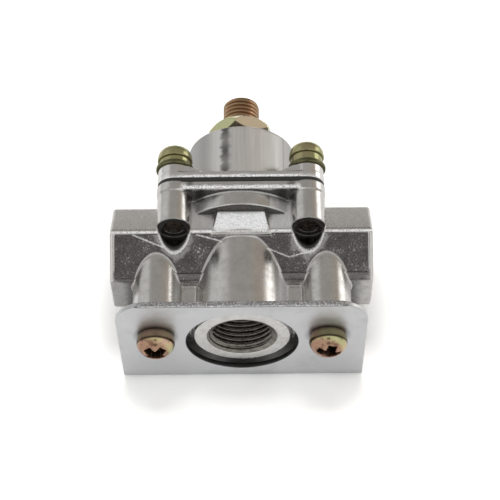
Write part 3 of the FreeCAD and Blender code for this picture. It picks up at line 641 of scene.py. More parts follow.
def shade_and_bare_of_body(x, a, u):
    """Painted shade under the bowl, under the flange, in the corners beside the posts and on the
    bar's lower front ends, and dark bare metal in the channels where the plating didn't reach.
    """
    wide = rod(mirrored(x), a, np.abs(u), POST_SIDE, POST_DEPTH, RELIEF_RADIUS + 0.35,
               BAR_FRONT, BAR_LINE + 0.4)
    channel = step_up(-wide, -0.05, 0.15)
    under = step_up(a, BOWL_FOOT - 0.4, BOWL_FOOT - 0.1)
    under *= step_up(FLANGE_UNDERSIDE - a, -0.2, 0.2)
    inner = step_up(BOWL_RADIUS - 0.1 - np.hypot(x, u), 0, 0.3)
    front = step_up(BAR_FRONT + 0.4 - a, 0, 0.3) * step_up(np.abs(x), 27, 29)
    front *= np.where(x < 0, 1.2, 0.5)
    roof = step_up(FLANGE_UNDERSIDE + 0.12 - a, 0, 0.1)
    roof *= step_up(a - FLANGE_UNDERSIDE, -0.8, -0.3)
    roof *= step_up(-flange_outline(x, u), 0.4, 0.8)
    roof *= step_up(np.hypot(x, u) - BOWL_RADIUS, 0, 0.3)
    corner = step_up(POST_SIDE - POST_RADIUS * 0.75 - mirrored(x), 0, 0.5)
    corner *= step_up(np.abs(u), HALF_RIDGE + 0.2, HALF_RIDGE + 0.6) * step_up(a, 29, 31)
    corner *= step_up(mirrored(x), 12.2, 12.6)
    corner *= np.where(x > 0, 0.55, 0.68)
    return highest(channel, under * inner, roof, corner, 0.42 * front)


def painted_glints_of_body(x, a, u):
    """Painted highlights: ragged bright lines on the ridge, the flange's lower rim, the channel lips
    and the creases.
    """
    depth = np.abs(u)
    ridge = step_up(0.36 - np.abs(a - BAR_LINE + 0.1), 0, 0.15) * step_up(depth, 12.5, 12.8)
    ridge *= step_up(13.5 - depth, 0, 0.2)
    rim = step_up(0.42 - np.abs(a - BODY_TOP + BODY_FLANGE - 0.3), 0, 0.15)
    rim *= step_up(flange_outline(x, u), -0.6, -0.3)
    rim *= step_up(POST_SIDE - 1.5 - np.abs(x), 0, 1)
    channel = np.hypot(mirrored(x) - POST_SIDE, depth - POST_DEPTH) - RELIEF_RADIUS
    ridge *= step_up(channel, 0.3, 0.6)
    lip = step_up(0.3 - np.abs(channel - 0.38), 0, 0.2) * step_up(BAR_LINE - a, 0.1, 0.5)
    crease = step_up(-crease_field(x, a, u), -0.1, -0.02)
    return highest(ridge, rim, 0.55 * lip, 0.8 * crease)


def make_body():
    body = solid("regulator_body_casting", body_field, (-HALF_BAR, SHEET, -CASTING_REACH),
                 (HALF_BAR, BODY_TOP, CASTING_REACH), *BODY_MESH)
    paint(body, "grain", grain_of_body)
    paint(body, "blast_and_sheen", blast_and_sheen_of_body)
    paint(body, "shade_and_bare", shade_and_bare_of_body)
    paint(body, "edge", painted_glints_of_body)
    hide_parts("regulator_body")
    body.data.materials.append(cast_chrome())


# Bonnet casting
def bonnet_field(x, a, u):
    side = mirrored(x)
    depth = np.abs(u)
    rise = a - BONNET_BASE
    plate = meet(flange_outline(x, u), span(rise, 0, BONNET_FLANGE), 0.5)
    dome = meet(np.hypot(x, u) - DOME_RADIUS, span(rise, 0, DOME_RISE), 0.9)
    tower = meet(np.hypot(x, u) - TOWER_RADIUS, span(rise, 0, TOWER_TOP - BONNET_BASE), 0.9)
    pad = rod(side, rise, depth, POST_SIDE, POST_DEPTH, POST_RADIUS, 0, PAD_RISE, 0.35)
    casting = join(plate, dome, 0.5)
    casting = join(casting, join(pad, ramp_field(side, rise, depth), 0.3), 0.4)
    casting = join(casting, tower, 1.6)
    hollow = np.minimum(rod(x, rise, u, 0, 0, BOWL_CAVITY_RADIUS, -1, BONNET_CAVITY_DEPTH),
                        rod(x, a, u, 0, 0, TOWER_BORE, BONNET_BASE - 1, ROOF_UNDERSIDE))
    hole = rod(side, rise, depth, POST_SIDE, POST_DEPTH, SMALL_SCREW_HOLE, -1, PAD_RISE + 1)
    thread = rod(x, a, u, 0, 0, ADJUSTER_RADIUS + 0.05, ROOF_UNDERSIDE - 1,
                 TOWER_TOP + 1)
    return remove(casting, lowest(hollow, hole, thread), 0.25)


def ramp_field(side, rise, depth):
    """Slope from the screw pads down towards the tower."""
    crest = POST_SIDE - RAMP_CREST_INSET
    foot = POST_SIDE - POST_RADIUS - RAMP_LENGTH
    slope = (PAD_RISE - RAMP_FOOT_RISE) / (crest - foot)
    sloping = (rise - RAMP_FOOT_RISE - slope * (side - foot)) / math.hypot(1, slope)
    top = meet(sloping, rise - PAD_RISE, 0.5)
    outline = meet(span(side, foot, POST_SIDE), depth - POST_DEPTH - POST_RADIUS + RAMP_SETBACK,
                   0.5)
    return meet(meet(top, outline, 0.6), -rise, 0.2)


def tower_painted_streak(x, a, u):
    """Two darker streaks painted down the tower as dark bands of reflection, the wide one with an
    uneven edge.
    """
    angle = np.degrees(np.arctan2(x, u))
    sway = 1.1 * np.sin(1.9 * a) + 0.8 * np.sin(4.3 * a + 1)
    wide = step_up(angle, -23.5 + sway, -19.0 + sway) * step_up(-angle, 9.5 + sway, 15.5)
    wide *= 0.85 + 0.15 * np.sin(0.9 * a)
    thin = step_up(angle, 50.5, 51.8) * step_up(-angle, -54, -52.7)
    return np.maximum(wide, 0.45 * thin)


def painted_glint_of_bonnet(x, a, u):
    """Painted highlight: a ragged bright line along the foot of the flange."""
    foot = step_up(0.42 - np.abs(a - BONNET_BASE - 0.35), 0, 0.15)
    outer = flange_outline(x, u)
    return foot * step_up(outer, -0.5, -0.25) * (0.5 + 0.5 * step_up(17 - np.abs(x), 0, 3))


def make_bonnet():
    bonnet = solid("bonnet_casting", bonnet_field,
                   (-BONNET_SIDE_REACH, BONNET_BASE, -CASTING_REACH),
                   (BONNET_SIDE_REACH, TOWER_TOP, CASTING_REACH), *BONNET_MESH)
    paint(bonnet, "brushed", lambda x, a, u: step_up(np.hypot(x, u), TOWER_RADIUS - 0.4,
                                                     TOWER_RADIUS - 0.1)
          * step_up(a - BONNET_BASE, DOME_RISE + 0.3, DOME_RISE + 1.2)
          * step_up(TOWER_RADIUS + 0.6 - np.hypot(x, u), 0, 0.3))
    paint(bonnet, "painted_streak", tower_painted_streak)
    paint(bonnet, "edge", painted_glint_of_bonnet)
    # Painted shade: the tower's brushed streaks turn darker towards its sides
    paint(bonnet, "sides", lambda x, a, u: step_up(np.abs(x + 1), 4.5, 9.5))
    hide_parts("bonnet")
    bonnet.data.materials.append(satin_chrome())


# Threads
def helix_height(x, u, a, pitch):
    """Share of a turn from 0 to 1, for a right-hand thread seen from the bracket."""
    turn = np.arctan2(x, u) / (2 * math.pi)
    return np.mod(a / pitch + turn, 1.0)


def thread_wave(share, root_flat=0.25, crest_flat=0.15):
    """Height of a thread form from 0 at its root to 1 at its crest."""
    rise = (1 - root_flat - crest_flat) / 2
    from_middle = np.abs(share - 0.5)
    return np.clip((0.5 - root_flat / 2 - from_middle) / rise, 0, 1)


def port_thread(name, turn, place, depth):
    """Threaded sleeve that lines a port; built along its own z from the mouth."""
    around = 144
    rows = int(depth / PORT_THREAD_PITCH * 14)
    outer = PORT_THREAD_ROOT + 0.35
    angles = np.linspace(0, 2 * math.pi, around, endpoint=False)
    heights = np.linspace(0, depth, rows + 1)
    rings = []
    for height in heights:
        share = np.mod(height / PORT_THREAD_PITCH + angles / (2 * math.pi), 1.0)
        fade = min(1.0, height / PORT_MOUTH_DEPTH)
        crest = PORT_THREAD_CREST + (PORT_MOUTH_RADIUS - PORT_THREAD_CREST) * (1 - fade)
        root = max(PORT_THREAD_ROOT, crest)
        radius = root - (root - crest) * thread_wave(share)
        rings.append(np.stack([radius * np.cos(angles), radius * np.sin(angles),
                               np.full(around, height)], 1))
    for height in (depth, 0):
        rim = max(outer, PORT_MOUTH_RADIUS + 0.02) if height == 0 else outer
        rings.append(np.stack([rim * np.cos(angles), rim * np.sin(angles),
                               np.full(around, height)], 1))
    count = len(rings)
    faces = []
    for ring in range(count):
        after = (ring + 1) % count
        for column in range(around):
            beside = (column + 1) % around
            faces.append((ring * around + column, ring * around + beside,
                          after * around + beside, after * around + column))
    mesh = bpy.data.meshes.new(name)
    mesh.from_pydata(np.concatenate(rings).tolist(), [], faces)
    mesh.transform(Matrix.Scale(MM, 4))
    mesh.transform(turn)
    mesh.transform(Matrix.Translation(Vector(to_row(np.array(place, float)))))
    mesh.update()
    mesh.polygons.foreach_set("use_smooth", [True] * len(mesh.polygons))
    thing = new_object(name, mesh)
    mesh.materials.append(bored_metal())
    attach(thing, "root")


def make_port_threads():
    towards_plus_y = Matrix.Rotation(math.radians(-90), 4, "X")
    port_thread("inlet_thread", towards_plus_y, (0, SHEET + 0.02, 0), INLET_DEPTH - 0.1)
    for side, word in ((-1, "left"), (1, "right")):
        inward = Matrix.Rotation(math.radians(-90 * side), 4, "Y")
        port_thread("outlet_thread_" + word, inward, (side * (HALF_BAR - 0.02), BAR_LINE, 0),
                    OUTLET_DEPTH - 0.1)


def adjuster_field(x, a, u):
    low, high = ADJUSTER_SPAN
    share = helix_height(x, u, a, ADJUSTER_PITCH)
    depth = 0.62 * (1 - thread_wave(share, 0.12, 0.42))
    from_end = np.minimum(a - low, high - a)
    limit = ADJUSTER_RADIUS - np.maximum(ADJUSTER_CHAMFER - from_end, 0)
    wall = meet(np.hypot(x, u) - ADJUSTER_RADIUS - 0.04 + depth, np.hypot(x, u) - limit - 0.04,
                0.12)
    shank = meet(wall, span(a, low, high), 0.2)
    socket = meet(six_sides(x, u, SOCKET_FLATS, 0, 0.1), high - SOCKET_DEPTH - a, 0.1)
    return remove(shank, socket, 0.15) * 0.8


def make_adjuster():
    screw = solid("adjusting_screw_threaded", adjuster_field,
                  (-ADJUSTER_RADIUS, ADJUSTER_SPAN[0], -ADJUSTER_RADIUS),
                  (ADJUSTER_RADIUS, ADJUSTER_SPAN[1], ADJUSTER_RADIUS), *ADJUSTER_MESH,
                  "adjuster")
    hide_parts("adjusting_screw")
    screw.data.materials.append(bronze_zinc())


def nut_field(x, a, u):
    low, high = NUT_SPAN
    corner = NUT_FLATS / math.sqrt(3)
    flats = six_sides(x, u, NUT_FLATS, math.pi / 2 + NUT_TURN, 0.25)
    slope = (corner - NUT_CROWN_RADIUS) / NUT_CROWN_DEPTH
    crown = np.hypot(x, u) - NUT_CROWN_RADIUS - slope * (high - a)
    spread = (corner - NUT_COLLAR_RADIUS) / (NUT_CORNER_RISE - NUT_COLLAR_HEIGHT)
    over_collar = np.maximum(a - low - NUT_COLLAR_HEIGHT, 0)
    foot = np.hypot(x, u) - NUT_COLLAR_RADIUS - spread * over_collar
    nut = meet(flats, crown / math.hypot(1, slope), 0.3)
    nut = meet(nut, foot / math.hypot(1, spread), 0.1)
    nut = meet(nut, span(a, low, high), 0.3)
    lip = ADJUSTER_RADIUS + 0.05 + 0.7 * np.maximum(0.7 - (high - a), 0)
    return remove(nut, np.hypot(x, u) - lip, 0.15)


def pink_face(x, u):
    """One face of the nut has a pinker film than the others."""
    angle = np.degrees(np.arctan2(x, u) + NUT_TURN)
    return step_up(angle, -0.8, 0.8) * step_up(60 - angle, -0.8, 0.8)


def nut_underside_shade(x, a, u):
    """Painted shade on the chamfer over the collar and on the collar itself."""
    spread = (NUT_FLATS / math.sqrt(3) - NUT_COLLAR_RADIUS) / (NUT_CORNER_RISE - NUT_COLLAR_HEIGHT)
    rise = a - NUT_SPAN[0]
    foot = np.hypot(x, u) - NUT_COLLAR_RADIUS - spread * np.maximum(rise - NUT_COLLAR_HEIGHT, 0)
    return 0.9 * step_up(foot, -0.16, -0.06) * step_up(np.hypot(x, u), 7.5, 7.8)


def make_nut():
    nut = solid("jam_nut_crowned", nut_field, (-NUT_REACH, NUT_SPAN[0], -NUT_REACH),
                (NUT_REACH, NUT_SPAN[1], NUT_REACH), *NUT_MESH, "lock_nut")
    paint(nut, "pink", lambda x, a, u: pink_face(x, u))
    paint(nut, "lime", lambda x, a, u: 1 - pink_face(x, u))
    paint(nut, "shade_and_bare", nut_underside_shade)
    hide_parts("jam_nut")
    nut.data.materials.append(yellow_zinc())


# Small screws and washers
def recess_field(x, rise, u, top, wing_length, wing_width, depth):
    """Cross recess whose four wings narrow and slope inwards."""
    fall = np.maximum(top - rise, 0)
    narrow = wing_width / 2 - 0.12 * fall
    length = wing_length / 2 - 0.42 * fall
    wing_x = meet(np.abs(x) - narrow, np.abs(u) - length, 0.25)
    wing_u = meet(np.abs(u) - narrow, np.abs(x) - length, 0.25)
    core = np.hypot(x, u) - wing_width * 0.75 + 0.35 * fall
    cross = join(np.minimum(wing_x, wing_u), core, 0.3)
    return meet(cross, top - depth - rise, 0.3)


def domed_head(x, rise, u, radius, height, shoulder, edge, barrel):
    """Pan head: a short, slightly barrelled side wall under a shallow dome."""
    sag = height - shoulder
    ball = (radius * radius + sag * sag) / (2 * sag)
    dome = np.sqrt(x * x + u * u + (rise - height + ball) ** 2) - ball
    wall = np.hypot(x, u) - radius + barrel * (rise - WIDEST_RISE) ** 2
    return meet(meet(wall, dome, edge), -rise, 0.25)


def pan_screw_field(x, rise, u, head, shank_length):
    radius, height, shoulder, edge, wing_length, wing_width, recess, barrel = head
    top = domed_head(x, rise, u, radius, height, shoulder, edge, barrel)
    top = remove(top, recess_field(x, rise, u, height, wing_length, wing_width, recess), 0.2)
    shank = rod(x, rise, u, 0, 0, SMALL_THREAD_RADIUS, -shank_length, 0.5)
    return join(top, shank, 0.15)


def recess_shade(x, rise, u, head):
    """Painted shade down in the recess of a screw head."""
    top = domed_head(x, rise, u, *head[:4], head[7])
    return step_up(-top, 0.12, 0.5) * step_up(rise, 0.3, 0.6)


def wall_shade(x, rise, u, head):
    """Painted shade on the side wall of a screw head, darker in bands near its top and its foot."""
    radius, shoulder = head[0], head[2]
    wall = step_up(np.hypot(x, u), radius - 0.8, radius - 0.6) * step_up(shoulder - rise, 0, 0.2)
    bands = np.maximum(step_up(rise, 2.1, 2.6), 0.45 * step_up(0.9 - rise, 0, 0.5))
    return wall * (0.58 + 0.36 * bands)


# Head sizes: radius, height, shoulder, rim round, wing length, wing width,
# recess depth and how much the wall curves in above and below its widest rise
BONNET_HEAD = (4.65, 4.2, 2.6, 1.6, 5.2, 1.3, 2.4, 0.0)
BRACKET_HEAD = (4.95, 5.9, 3.0, 0.4, 7.0, 2.6, 3.2, 0.105)
WIDEST_RISE = 1.9
BONNET_RECESS_TURNS = [math.radians(angle) for angle in (20, -35, 62, 10)]
BRACKET_RECESS_TURNS = {"left": math.radians(45), "right": math.radians(20)}
CORNER_SIGNS = [(-1, 1), (1, 1), (1, -1), (-1, -1)]


def turned(across, up, turn):
    """A place across a screw's head, seen from its recess."""
    cosine, sine = math.cos(turn), math.sin(turn)
    return across * cosine - up * sine, across * sine + up * cosine


def ring_wall(reach, radius):
    """Wall of a washer between its hole and its rim."""
    return (np.abs(reach - (radius + SMALL_SCREW_HOLE) / 2)
            - (radius - SMALL_SCREW_HOLE) / 2)


def make_bonnet_screw(row, side, lift, turn):
    low, high = span_of("bonnet_screw_%d" % row)
    seat = high - BONNET_HEAD[1]
    reach = BONNET_SCREW_REACH

    def field(x, a, u):
        across, up = turned(x - side, u - lift, turn)
        return pan_screw_field(across, a - seat, up, BONNET_HEAD, seat - low)

    screw = solid("bonnet_screw_%d_head" % row, field, (side - reach, low, lift - reach),
                  (side + reach, high, lift + reach), *BONNET_SCREW_MESH)
    # Painted shade on the threaded end below the seat and in the recess, and a darker painted
    # reflection on the dome's top
    paint(screw, "shade_and_bare", lambda x, a, u: step_up(seat - 1 - a, 0, 0.5)
          + recess_shade(x - side, a - seat, u - lift, BONNET_HEAD)
          + 0.7 * step_up(a - seat, 2.7, 3.9))
    paint(screw, "olive", lambda x, a, u: np.ones_like(x))
    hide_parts("bonnet_screw_%d" % row)
    screw.data.materials.append(yellow_zinc())


def make_lock_washer(row, side, lift):
    node = "lock_washer_%d" % row
    low, high = span_of(node)
    radius = size_of(node)[0] / 2

    def field(x, a, u):
        across, up = x - side, u - lift
        ring = meet(ring_wall(np.hypot(across, up), radius),
                    span(a, low + 0.02, high - 0.02), 0.45)
        split = np.abs(across + 0.35 * (a - (low + high) / 2)) - 0.3
        return remove(ring, meet(split, up, 0.1), 0.15)

    washer = solid("lock_washer_%d_ring" % row, field, (side - radius, low, lift - radius),
                   (side + radius, high, lift + radius), *LOCK_WASHER_MESH)
    paint(washer, "olive", lambda x, a, u: np.ones_like(x))
    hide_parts(node)
    washer.data.materials.append(yellow_zinc())


def make_flat_washer(row, side, lift):
    node = "flat_washer_%d" % row
    low, high = span_of(node)
    radius = size_of(node)[0] / 2

    def field(x, a, u):
        reach = np.hypot(x - side, u - lift)
        return meet(ring_wall(reach, radius), span(a, low, high), 0.5)

    washer = solid("flat_washer_%d_ring" % row, field, (side - radius, low, lift - radius),
                   (side + radius, high, lift + radius), *FLAT_WASHER_MESH)
    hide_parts(node)
    washer.data.materials.append(olive_zinc())


def make_bracket_screw(word, sign):
    node = "bracket_screw_" + word
    high = span_of(node)[1]
    low, seat = -BRACKET_HEAD[1], 0.0
    side = sign * BOSS_SIDE
    turn = BRACKET_RECESS_TURNS[word]
    reach = BRACKET_SCREW_REACH

    def field(x, a, u):
        across, up = turned(x - side, u - BOSS_LIFT, turn)
        return pan_screw_field(across, seat - a, up, BRACKET_HEAD, high - seat)

    screw = solid(node + "_head", field, (side - reach, low, BOSS_LIFT - reach),
                  (side + reach, high, BOSS_LIFT + reach), *BRACKET_SCREW_MESH)
    # Painted shade in the recess and on the head's side wall
    paint(screw, "shade_and_bare", lambda x, a, u: np.maximum(
        recess_shade(x - side, seat - a, u - BOSS_LIFT, BRACKET_HEAD),
        wall_shade(x - side, seat - a, u - BOSS_LIFT, BRACKET_HEAD)))
    paint(screw, "copper", lambda x, a, u: step_up(
        4.6 - np.hypot(x - side + 0.7, u - BOSS_LIFT - 0.4), 0, 1.0))
    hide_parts(node)
    screw.data.materials.append(yellow_zinc())


def make_small_parts():
    for row, (side_sign, lift_sign) in enumerate(CORNER_SIGNS, start=1):
        side = side_sign * POST_SIDE
        lift = lift_sign * POST_DEPTH
        make_bonnet_screw(row, side, lift, BONNET_RECESS_TURNS[row - 1])
        make_lock_washer(row, side, lift)
        make_flat_washer(row, side, lift)
    for word, sign in (("left", -1), ("right", 1)):
        make_bracket_screw(word, sign)


# Springs and diaphragm, which change shape as the pieces round them move
SPRING_SPLIT = 42.0
LOWER_SHARE_TRIANGLES = 12000
UPPER_SHARE_TRIANGLES = 26000
RETURN_SPRING_TRIANGLES = 12000
SECTOR_TRIANGLES = 4000
SAME_POINT = 0.0002
DIAPHRAGM_SECTORS = 12
DIAPHRAGM_FOLDS = 8
PLATE_MARGIN = 0.1
CLAMP_MARGIN = 0.2
# Turned a little, so that no border lies along an edge of the shape
DIAPHRAGM_TURN = math.radians(7)


def place(x, a, u):
    return Vector(to_row(np.array([x, a, u])))


def cut_plane(edit, point, normal, drop):
    """Adds edges along a plane, or drops what lies past it and closes the cut."""
    everything = edit.verts[:] + edit.edges[:] + edit.faces[:]
    cut = bmesh.ops.bisect_plane(edit, geom=everything, plane_co=point, plane_no=normal,
                                 clear_outer=drop)
    if drop:
        rim = [part for part in cut["geom_cut"] if isinstance(part, bmesh.types.BMEdge)]
        bmesh.ops.holes_fill(edit, edges=rim, sides=0)


def piece_of(node, name, ends, folds, triangles, material):
    """A share of a node's shape, cut off at its ends and ready to bend at its folds."""
    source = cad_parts[node]
    edit = bmesh.new()
    edit.from_mesh(source.data)
    edit.transform(source.matrix_world)
    bmesh.ops.remove_doubles(edit, verts=edit.verts[:], dist=SAME_POINT * MM)
    for point, normal in ends:
        cut_plane(edit, point, normal, True)
    for point, normal in folds:
        cut_plane(edit, point, normal, False)
    bmesh.ops.triangulate(edit, faces=edit.faces[:])
    edit.verts.index_update()
    corners = [tuple(vertex.co) for vertex in edit.verts]
    faces = [[vertex.index for vertex in face.verts] for face in edit.faces]
    edit.free()
    mesh = bpy.data.meshes.new(name)
    mesh.from_pydata(corners, [], faces)
    piece = new_object(name, mesh)
    thin_out(piece, triangles)
    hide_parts(node)
    piece.data.materials.append(material)
    return piece


def make_springs():
    """The main spring's two shares meet where neither of its ends moves it."""
    split = place(0, SPRING_SPLIT, 0)
    lower = piece_of("main_spring", "main_spring_lower", [(split, (0, 1, 0))], [],
                     LOWER_SHARE_TRIANGLES, spring_steel())
    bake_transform(lower)
    upper = piece_of("main_spring", "main_spring_upper", [(split, (0, -1, 0))], [],
                     UPPER_SHARE_TRIANGLES, spring_steel())
    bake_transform(upper)
    coil = piece_of("return_spring", "return_spring_coil", [], [],
                    RETURN_SPRING_TRIANGLES, spring_steel())
    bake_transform(coil)


def direction_at(angle):
    return Vector((math.cos(angle), 0, math.sin(angle)))


def make_diaphragm():
    """Cuts the diaphragm into sectors, each with fold lines from the plates' edge out to its clamped
    rim.
    """
    centre = place(0, 0, 0)
    half = math.pi / DIAPHRAGM_SECTORS
    held = size_of("lower_diaphragm_plate")[0] / 2 + PLATE_MARGIN
    clamped = BOWL_CAVITY_RADIUS * math.cos(half) - CLAMP_MARGIN
    for number in range(DIAPHRAGM_SECTORS):
        middle = DIAPHRAGM_TURN + 2 * half * number
        outward = direction_at(middle)
        borders = [(centre, direction_at(middle + sign * (half + math.pi / 2)))
                   for sign in (-1, 1)]
        reaches = np.linspace(held, clamped, DIAPHRAGM_FOLDS + 1)
        folds = [(centre + outward * reach * MM, outward) for reach in reaches]
        sector = piece_of("diaphragm", "diaphragm_sector_%d" % (number + 1), borders, folds,
                          SECTOR_TRIANGLES, black_rubber())
        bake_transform(sector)


# Materials: small helpers that keep each node tree short
class Shader:
    """One Principled material and the nodes that feed it."""

    def __init__(self, name):
        self.material = bpy.data.materials.new(name)
        self.material.use_nodes = True
        self.nodes = self.material.node_tree.nodes
        self.links = self.material.node_tree.links
        self.surface = self.nodes["Principled BSDF"]
        self.place = self.node("ShaderNodeTexCoord").outputs["Object"]

    def node(self, kind, **settings):
        made = self.nodes.new(kind)
        for word, value in settings.items():
            setattr(made, word, value)
        return made

    def put(self, socket, value):
        """Links an output, or sets a constant on the socket itself."""
        if isinstance(value, bpy.types.NodeSocket):
            self.links.new(value, socket)
        else:
            socket.default_value = value

    def stretch(self, scale):
        mapping = self.node("ShaderNodeMapping")
        self.links.new(self.place, mapping.inputs["Vector"])
        mapping.inputs["Scale"].default_value = scale
        return mapping.outputs["Vector"]

    def noise(self, scale, detail=4.0, rough=0.55, place=None):
        made = self.node("ShaderNodeTexNoise")
        self.links.new(self.place if place is None else place, made.inputs["Vector"])
        made.inputs["Scale"].default_value = scale
        made.inputs["Detail"].default_value = detail
        made.inputs["Roughness"].default_value = rough
        return made.outputs["Fac"]

    def specks(self, scale):
        made = self.node("ShaderNodeTexVoronoi")
        self.links.new(self.place, made.inputs["Vector"])
        made.inputs["Scale"].default_value = scale
        return made.outputs["Distance"]

    def reads(self, name):
        return self.node("ShaderNodeAttribute", attribute_name=name).outputs["Fac"]

    def sums(self, operation, one, other):
        made = self.node("ShaderNodeMath", operation=operation)
        self.put(made.inputs[0], one)
        self.put(made.inputs[1], other)
        return made.outputs["Value"]

    def remap(self, value, low, high, to_low=0.0, to_high=1.0):
        made = self.node("ShaderNodeMapRange")
        self.links.new(value, made.inputs["Value"])
        for word, number in (("From Min", low), ("From Max", high),
                             ("To Min", to_low), ("To Max", to_high)):
            made.inputs[word].default_value = number
        return made.outputs["Result"]

    def mix(self, share, one, other):
        """Mixes two numbers."""
        made = self.node("ShaderNodeMix", data_type="FLOAT")
        self.put(made.inputs[0], share)
        self.put(made.inputs[2], one)
        self.put(made.inputs[3], other)
        return made.outputs[0]

    def tint(self, share, one, other):
        """Mixes two colours."""
        made = self.node("ShaderNodeMix", data_type="RGBA")
        self.put(made.inputs[0], share)
        for socket, value in ((made.inputs[6], one), (made.inputs[7], other)):
            self.put(socket, value if isinstance(value, bpy.types.NodeSocket) else (*value, 1))
        return made.outputs[2]

    def ramp(self, share, stops):
        made = self.node("ShaderNodeValToRGB")
        self.links.new(share, made.inputs["Fac"])
        elements = made.color_ramp.elements
        while len(elements) < len(stops):
            elements.new(0.5)
        for element, (place, colour) in zip(elements, stops):
            element.position = place
            element.color = (*colour, 1)
        return made.outputs["Color"]

    def bump(self, height, strength, distance_mm, under=None):
        made = self.node("ShaderNodeBump")
        self.put(made.inputs["Strength"], strength)
        made.inputs["Distance"].default_value = distance_mm * MM
        self.links.new(height, made.inputs["Height"])
        if under is not None:
            self.links.new(under, made.inputs["Normal"])
        return made.outputs["Normal"]

    def finish(self, colour, roughness, metallic=1.0, normal=None):
        self.put(self.surface.inputs["Base Color"],
                 colour if isinstance(colour, bpy.types.NodeSocket) else (*colour, 1))
        self.put(self.surface.inputs["Roughness"], roughness)
        if metallic is not None:
            self.surface.inputs["Metallic"].default_value = metallic
        if normal is not None:
            self.links.new(normal, self.surface.inputs["Normal"])
        return self.material


MADE = {}


def once(maker):
    """Each material is made on its first use and shared after that."""

    def wrapped():
        if maker.__name__ not in MADE:
            MADE[maker.__name__] = maker()
        return MADE[maker.__name__]

    return wrapped


@once
def cast_chrome():
    s = Shader("cast_chrome")
    grain = s.reads("grain")
    blast_and_sheen = s.reads("blast_and_sheen")
    shade_and_bare = s.reads("shade_and_bare")
    coarse = s.noise(2600, 4, 0.62)
    fine = s.noise(4200, 2)
    pits = s.remap(s.specks(1100), 0.0, 0.3, 1.0, 0.0)
    clouds = s.noise(140, 3)
    brushing = s.noise(900, 4, 0.7, s.stretch((1.0, 0.05, 1.0)))
    bright = s.tint(clouds, (0.62, 0.607, 0.588), (0.745, 0.735, 0.72))
    patches = s.remap(s.noise(210, 2), 0.35, 0.65, -0.07, 0.05)
    dull = s.ramp(s.sums("ADD", coarse, patches),
                  [(0.36, (0.085, 0.078, 0.078)), (0.54, (0.15, 0.137, 0.137)),
                   (0.63, (0.22, 0.205, 0.205)), (0.71, (0.80, 0.79, 0.80))])
    haze = s.noise(430, 5, 0.6)
    bright = s.tint(s.remap(haze, 0.42, 0.68, 0.0, 0.5), bright, (0.50, 0.485, 0.465))
    colour = s.tint(grain, bright, dull)
    sparkle = s.ramp(fine, [(0.36, (0.50, 0.50, 0.52)), (0.50, (0.92, 0.92, 0.94)),
                            (0.60, (1.0, 1.0, 1.0))])
    # Sand-blasted neck, plus painted highlights on the boss flanks and beside the neck
    colour = s.tint(blast_and_sheen, colour, sparkle)
    # Painted shade under the bowl and flange, beside the posts and on the bar's front ends; dark
    # bare metal in the channels
    colour = s.tint(s.sums("MULTIPLY", shade_and_bare, 0.93), colour, (0.05, 0.046, 0.042))
    # Painted highlights: ragged bright lines along the marked edges
    edge_glint = s.sums("MULTIPLY", s.reads("edge"), s.remap(fine, 0.40, 0.50))
    colour = s.tint(edge_glint, colour, (0.97, 0.97, 0.98))
    satin = s.remap(brushing, 0.3, 0.7, 0.16, 0.27)
    satin = s.sums("ADD", satin, s.remap(haze, 0.45, 0.70, 0.0, 0.10))
    rough = s.mix(grain, satin, 0.36)
    matt = s.sums("MAXIMUM", blast_and_sheen, edge_glint)
    rough = s.mix(matt, rough, 0.6)
    relief = s.bump(coarse, s.sums("MULTIPLY", grain, 0.9), 0.12)
    relief = s.bump(fine, s.sums("MULTIPLY", blast_and_sheen, 0.9), 0.1, relief)
    relief = s.bump(pits, 0.03, 0.05, relief)
    relief = s.bump(haze, 0.04, 0.05, relief)
    relief = s.bump(brushing, 0.05, 0.03, relief)
    s.links.new(s.remap(matt, 0, 1, 1.0, 0.1), s.surface.inputs["Metallic"])
    return s.finish(colour, rough, metallic=None, normal=relief)


@once
def satin_chrome():
    s = Shader("satin_chrome")
    brushed = s.reads("brushed")
    lines = s.noise(1100, 5, 0.75, s.stretch((1.0, 0.03, 1.0)))
    clouds = s.noise(160, 3)
    coarse = s.noise(900, 3)
    colour = s.tint(clouds, (0.70, 0.69, 0.68), (0.82, 0.81, 0.80))
    streak = s.ramp(lines, [(0.3, (0.76, 0.75, 0.735)), (0.7, (0.95, 0.94, 0.925))])
    # Painted shade: darker brushed streaks on the tower's sides
    streak = s.tint(s.sums("MULTIPLY", s.reads("sides"), 0.57), streak, (0.16, 0.155, 0.15))
    # Painted reflection: two dark streaks down the tower
    streak = s.tint(s.reads("painted_streak"), streak, (0.18, 0.177, 0.172))
    colour = s.tint(brushed, colour, streak)
    # Painted highlight: ragged bright line along the flange's foot
    edge_glint = s.sums("MULTIPLY", s.reads("edge"), s.remap(s.noise(4200, 2), 0.40, 0.50))
    colour = s.tint(edge_glint, colour, (0.97, 0.97, 0.98))
    s.links.new(s.remap(edge_glint, 0, 1, 1.0, 0.1), s.surface.inputs["Metallic"])
    rough = s.mix(brushed, s.remap(coarse, 0.3, 0.7, 0.12, 0.24),
                  s.remap(lines, 0.3, 0.7, 0.26, 0.42))
    relief = s.bump(lines, s.sums("MULTIPLY", brushed, 0.5), 0.05)
    relief = s.bump(coarse, 0.06, 0.06, relief)
    around = s.node("ShaderNodeTangent", direction_type="RADIAL", axis="Y")
    s.links.new(around.outputs["Tangent"], s.surface.inputs["Tangent"])
    s.links.new(s.sums("MULTIPLY", brushed, 0.85), s.surface.inputs["Anisotropic"])
    return s.finish(colour, rough, metallic=None, normal=relief)


@once
def bored_metal():
    s = Shader("bored_metal")
    tooling = s.noise(700, 4)
    colour = s.ramp(tooling, [(0.3, (0.14, 0.13, 0.115)), (0.7, (0.29, 0.275, 0.25))])
    return s.finish(colour, s.remap(tooling, 0.3, 0.7, 0.22, 0.4))


